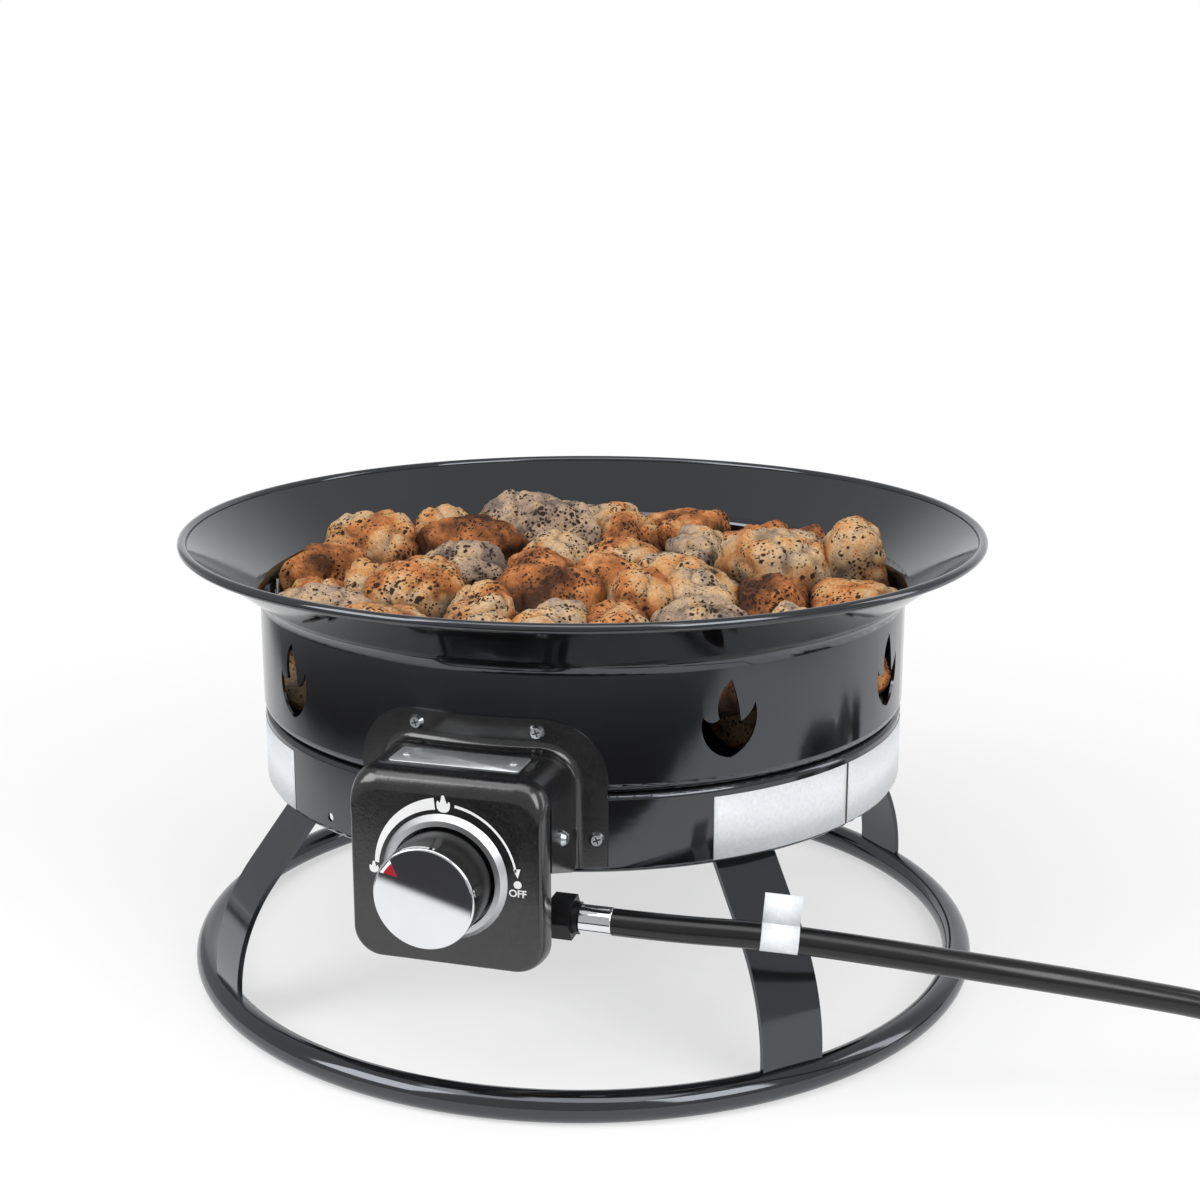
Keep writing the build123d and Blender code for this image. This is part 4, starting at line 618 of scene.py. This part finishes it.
def screw_crosses(name, node, outward):
    """Cross recesses of a node's screws, as dark inlays flush with the heads: painted shade, with no recess
    cut.
    """
    shell = bmesh.new()
    for corners, _ in loose_parts(nodes[node].data):
        middle = sum(corners, Vector()) / len(corners)
        out = outward(middle)
        top = max(corners, key=lambda c: c.dot(out)).dot(out)
        spot = middle + out * (top - middle.dot(out))
        facing = out.to_track_quat("Z", "Y").to_matrix().to_4x4()
        for turn in (CROSS_TURN, CROSS_TURN + math.pi / 2):
            slit = bmesh.ops.create_cube(shell, size=1)["verts"]
            bmesh.ops.scale(shell, verts=slit, vec=CROSS_SIZE)
            bmesh.ops.rotate(shell, verts=slit, cent=(0, 0, 0), matrix=Matrix.Rotation(turn, 3, "Z"))
            bmesh.ops.transform(shell, verts=slit, matrix=Matrix.Translation(spot) @ facing)
    return piece(name, shell, recess_shade, smooth=False)


screw_crosses("hood_screw_cross_shade", "hood_screws", lambda m: Vector((m.x, m.y, 0)).normalized())
screw_crosses("housing_screw_cross_shade", "housing_screws", lambda m: Vector((math.copysign(1, m.x), 0, 0)))

# Dial print on the housing's face, drawn in mm from the knob's axis
DIAL = Vector((0, -243.07 * MM, KNOB_HEIGHT))
UPRIGHT = Matrix.Rotation(math.pi / 2, 3, "X")


def dial_print(name, shell, across=0, above=0):
    """Prints flat ink that was drawn about the origin on the housing's face."""
    bmesh.ops.translate(shell, verts=shell.verts, vec=DIAL + Vector((across * MM, 0, above * MM)))
    return piece(name, shell, ink, smooth=False)


def dial_band(name, first, last, inner, outer_first, outer_last):
    """A printed band around the dial, between two angles in degrees, whose outer edge tapers."""
    shell = bmesh.new()
    turn = math.radians(first)
    ray = Vector((math.cos(turn), 0, math.sin(turn)))
    ends = [corner(shell, ray * r * MM) for r in (inner, outer_first)]
    rule = shell.edges.new(ends)
    bmesh.ops.spin(
        shell, geom=[*ends, rule], cent=(0, 0, 0), axis=(0, -1, 0),
        angle=math.radians(last - first), steps=40)
    for vert in shell.verts:
        if vert.co.length > (inner + 0.01) * MM:
            share = (math.degrees(math.atan2(vert.co.z, vert.co.x)) - first) / (last - first)
            vert.co = vert.co.normalized() * (outer_first + (outer_last - outer_first) * share) * MM
    return dial_print(name, shell)


def dial_mark(name, curve, across, above):
    """A filled outline or lettering drawn in the XY plane, stood up and printed on the dial."""
    drawn = bpy.data.objects.new(name, curve)
    scene.collection.objects.link(drawn)
    bpy.context.view_layer.update()
    mesh = bpy.data.meshes.new_from_object(drawn.evaluated_get(bpy.context.evaluated_depsgraph_get()))
    bpy.data.objects.remove(drawn)
    shell = bmesh.new()
    shell.from_mesh(mesh)
    bmesh.ops.rotate(shell, verts=shell.verts, cent=(0, 0, 0), matrix=UPRIGHT)
    return dial_print(name, shell, across, above)


FLAME_OUTLINE = (
    (-0.06, 1.0), (-0.3, 0.42), (-0.44, 0.16), (-0.6, 0.34), (-0.78, -0.2), (-0.52, -0.8), (0.0, -0.96),
    (0.52, -0.8), (0.78, -0.2), (0.62, 0.3), (0.46, 0.1), (0.3, 0.4),
)


def flame_icon(name, size, across, above):
    """A plain solid flame: one tall tongue between two short ones over a round foot."""
    curve = bpy.data.curves.new(name, "CURVE")
    curve.dimensions = "2D"
    curve.fill_mode = "BOTH"
    line = curve.splines.new("BEZIER")
    line.bezier_points.add(len(FLAME_OUTLINE) - 1)
    for spot, place in zip(line.bezier_points, FLAME_OUTLINE):
        spot.co = (place[0] * size / 2 * MM, place[1] * size / 2 * MM, 0)
        spot.handle_left_type = spot.handle_right_type = "AUTO"
    line.use_cyclic_u = True
    return dial_mark(name, curve, across, above)


def lettering(name, words, size, across, above):
    """Plain lettering, centred on its place."""
    text = bpy.data.curves.new(name, "FONT")
    text.body = words
    text.size = size * MM
    text.align_x = "CENTER"
    text.align_y = "CENTER"
    text.offset = 0.12 * MM
    return dial_mark(name, text, across, above)


def dial_arrow():
    """The arrow's head at the end of the thin band."""
    shell = bmesh.new()
    tips = ((36.6, 8), (40.4, 8.6), (38.9, 3.4))
    shell.faces.new([corner(shell, Vector((x, 0, z)) * MM) for x, z in tips])
    return dial_print("dial_arrow", shell)


def dial_off_dot():
    """The dot over the off mark."""
    shell = bmesh.new()
    bmesh.ops.create_circle(shell, cap_ends=True, segments=32, radius=2.1 * MM)
    bmesh.ops.rotate(shell, verts=shell.verts, cent=(0, 0, 0), matrix=UPRIGHT)
    return dial_print("dial_off_dot", shell, 38.8)


dial_band("dial_wide_band", 97, 174, 35.8, 42.0, 38.0)
dial_band("dial_thin_band", 81, 10, 37.9, 39.4, 39.0)
dial_arrow()
dial_off_dot()
lettering("dial_off_word", "OFF", 5.3, 38.8, -4.8)
flame_icon("dial_high_flame", 9.2, 0, 38.8)
flame_icon("dial_low_flame", 6.4, -38.4, 1.2)


def name_plate():
    """Bare rolled aluminium plate on top of the hood, its corners eased, held by two rivets."""
    plate_size = (70 * MM, 22 * MM, 0.5 * MM)
    plate_middle = Vector((0, -218.5 * MM, 190.28 * MM))
    rivet_level, rivet_radius, rivet_crown = 190.5 * MM, 2.2 * MM, 0.45
    shell = bmesh.new()
    plate = bmesh.ops.create_cube(shell, size=1)["verts"]
    bmesh.ops.scale(shell, verts=plate, vec=plate_size)
    upright = [e for e in shell.edges if abs(e.verts[0].co.z - e.verts[1].co.z) > 0.1 * MM]
    bmesh.ops.bevel(
        shell, geom=upright, offset=2 * MM, segments=4, profile=0.5, affect="EDGES", material=-1)
    bmesh.ops.translate(shell, verts=shell.verts, vec=plate_middle)
    for x in (-29, 29):
        head = bmesh.ops.create_uvsphere(shell, u_segments=20, v_segments=10, radius=rivet_radius)["verts"]
        bmesh.ops.scale(shell, verts=head, vec=(1, 1, rivet_crown))
        bmesh.ops.translate(shell, verts=head, vec=(x * MM, plate_middle.y, rivet_level))
    aluminium = metal("rolled_aluminium", "DADCDE", "BABCBE", 0.42, 0.8, 0.2, 0.7)
    return piece("name_plate", shell, aluminium)


name_plate()

# Studio, in metres: a pale floor that darkens in front of the object, a white backdrop, soft boxes, grey air
AIR = (0.5, 0.5, 0.5, 1)
WHITE = (1, 1, 1, 1)
BACKDROP_PLACE = 2.95

# Edges of the white: its inward direction, the edge's place along that, and the width of its fade
KNOB_EDGE = ((-0.440, 0.898, 0), -0.4625, 0.012)
HOSE_EDGE = ((0, 1, 0), -0.5, 0.02)
LEFT_EDGE = ((0.898, 0.440, 0), -0.6, 0.24)
RIGHT_EDGE = ((-1, 0, 0), -1.0, 0.24)
BACK_EDGE = ((0, 1, 0), 0.45, 0.5)
FAR_LEFT_EDGE = ((1, 0, 0), -3.2, 1.2)
FAR_RIGHT_EDGE = ((-1, 0, 0), -1.7, 1.8)
TOP_EDGE = ((0, 0, -1), -2.0, 2.4)


def lit_white(material, white):
    """Share of plain white of a studio surface, to the eye, in reflections and through glass alike."""
    path = add(material, "ShaderNodeLightPath", {}, {})
    seen = add(material, "ShaderNodeMath", {"operation": "ADD", "use_clamp": True}, {
        0: path.outputs["Is Camera Ray"], 1: path.outputs["Is Glossy Ray"]})
    through = add(material, "ShaderNodeMath", {"operation": "ADD", "use_clamp": True}, {
        0: seen.outputs[0], 1: path.outputs["Is Transmission Ray"]})
    share = add(material, "ShaderNodeMath", {"operation": "MULTIPLY"}, {0: through.outputs[0], 1: white})
    return share.outputs[0]


def edge_fade(material, place, inward, start, width):
    """Rises from 0 to 1 across an edge of the white, along its inward direction."""
    reach = add(material, "ShaderNodeVectorMath", {"operation": "DOT_PRODUCT"}, {0: place, 1: inward})
    fade = add(material, "ShaderNodeMapRange", {"interpolation_type": "SMOOTHSTEP"}, {
        "Value": reach.outputs["Value"], "From Min": start - width / 2, "From Max": start + width / 2})
    return fade.outputs[0]


def floor_paint():
    """Matt floor paint: white around and behind the bowl, dark in front, where its gloss shows the edge."""
    material, surface, place = blank("floor_paint")
    front = add(material, "ShaderNodeMath", {"operation": "MAXIMUM"}, {
        0: edge_fade(material, place, *KNOB_EDGE), 1: edge_fade(material, place, *HOSE_EDGE)})
    between = add(material, "ShaderNodeMath", {"operation": "MULTIPLY"}, {
        0: edge_fade(material, place, *LEFT_EDGE), 1: edge_fade(material, place, *RIGHT_EDGE)})
    span = add(material, "ShaderNodeMath", {"operation": "MULTIPLY"}, {
        0: edge_fade(material, place, *FAR_LEFT_EDGE), 1: edge_fade(material, place, *FAR_RIGHT_EDGE)})
    behind = add(material, "ShaderNodeMath", {"operation": "MULTIPLY"}, {
        0: span.outputs[0], 1: edge_fade(material, place, *BACK_EDGE)})
    wide = add(material, "ShaderNodeMath", {"operation": "MAXIMUM"}, {
        0: between.outputs[0], 1: behind.outputs[0]})
    white = add(material, "ShaderNodeMath", {"operation": "MULTIPLY"}, {
        0: wide.outputs[0], 1: front.outputs[0]})
    reach = add(material, "ShaderNodeVectorMath", {"operation": "LENGTH"}, {0: place})
    # Far out the floor takes the grey of the air, and near the bowl it keeps part of its shadow
    far = add(material, "ShaderNodeMapRange", {"interpolation_type": "SMOOTHSTEP"}, {
        "Value": reach.outputs["Value"], "From Min": 0.68, "From Max": 1.25})
    shade = add(material, "ShaderNodeMapRange", {"interpolation_type": "SMOOTHSTEP"}, {
        "Value": reach.outputs["Value"], "From Min": 0.4, "From Max": 0.9, "To Min": 0.58})
    pool = add(material, "ShaderNodeMath", {"operation": "MULTIPLY"}, {
        0: shade.outputs[0], 1: white.outputs[0]})
    bright = add(material, "ShaderNodeMath", {"operation": "MAXIMUM"}, {
        0: pool.outputs[0], 1: far.outputs[0]})
    tone = add(material, "ShaderNodeMix", {"data_type": "RGBA"}, {
        0: white.outputs[0], 6: srgb("363638"), 7: srgb("F4F4F4")})
    air = add(material, "ShaderNodeMix", {"data_type": "RGBA"}, {0: white.outputs[0], 6: AIR, 7: WHITE})
    paint = add(material, "ShaderNodeBsdfDiffuse", {}, {"Color": tone.outputs[2]})
    glow = add(material, "ShaderNodeEmission", {}, {"Color": air.outputs[2], "Strength": 1.0})
    shader = add(material, "ShaderNodeMixShader", {}, {
        0: lit_white(material, bright.outputs[0]), 1: paint.outputs[0], 2: glow.outputs[0]})
    return close(material, surface, shader)


def backdrop_paint():
    """Matt backdrop paint: plain white behind the bowl, falling to grey towards its top and ends."""
    material, surface, place = blank("backdrop_paint")
    span = add(material, "ShaderNodeMath", {"operation": "MULTIPLY"}, {
        0: edge_fade(material, place, *FAR_LEFT_EDGE), 1: edge_fade(material, place, *FAR_RIGHT_EDGE)})
    white = add(material, "ShaderNodeMath", {"operation": "MULTIPLY"}, {
        0: span.outputs[0], 1: edge_fade(material, place, *TOP_EDGE)})
    tone = add(material, "ShaderNodeMix", {"data_type": "RGBA"}, {0: white.outputs[0], 6: AIR, 7: WHITE})
    paint = add(material, "ShaderNodeBsdfDiffuse", {}, {"Color": tone.outputs[2]})
    glow = add(material, "ShaderNodeEmission", {}, {"Color": tone.outputs[2], "Strength": 1.0})
    shader = add(material, "ShaderNodeMixShader", {}, {
        0: lit_white(material, 1.0), 1: paint.outputs[0], 2: glow.outputs[0]})
    return close(material, surface, shader)


def stage_sheet(name, corners, material):
    """A flat sheet of the studio."""
    shell = bmesh.new()
    shell.faces.new([corner(shell, c) for c in corners])
    mesh = bpy.data.meshes.new(name)
    shell.to_mesh(mesh)
    shell.free()
    mesh.materials.append(material)
    sheet = bpy.data.objects.new(name, mesh)
    scene.collection.objects.link(sheet)
    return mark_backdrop(sheet)


stage_sheet("studio_floor", [(-4, -4, 0), (4, -4, 0), (4, 3, 0), (-4, 3, 0)], floor_paint())
stage_sheet(
    "studio_backdrop",
    [(x, BACKDROP_PLACE, z) for x, z in ((-4, -0.05), (4, -0.05), (4, 3.4), (-4, 3.4))],
    backdrop_paint(),
)

world = bpy.data.worlds.new("studio_air")
world.use_nodes = True
world.node_tree.nodes["Background"].inputs["Color"].default_value = AIR
scene.world = world

BOWL = Vector((0, 0, 0.15))
BOWL_SIDE = Vector((0, 0, 0.2))


def soft_box(name, place, target, width, height, power):
    """A large soft light that faces a point."""
    lamp = bpy.data.lights.new(name, "AREA")
    lamp.shape = "RECTANGLE"
    lamp.size, lamp.size_y = width, height
    lamp.energy = power
    box = bpy.data.objects.new(name, lamp)
    box.location = place
    box.rotation_euler = (target - Vector(place)).to_track_quat("-Z", "Y").to_euler()
    scene.collection.objects.link(box)


soft_box("soft_box_top", (0.0, -0.95, 2.1), BOWL, 2.0, 1.2, 16)
soft_box("soft_box_front_left", (-1.3, -1.3, 1.35), BOWL, 1.2, 1.2, 23)
soft_box("soft_box_front_right", (1.5, -1.1, 1.3), BOWL, 1.0, 1.2, 19)
soft_box("soft_box_side", (1.75, 0.5, 0.8), BOWL_SIDE, 0.35, 1.4, 5)

scene.view_settings.view_transform = "Standard"
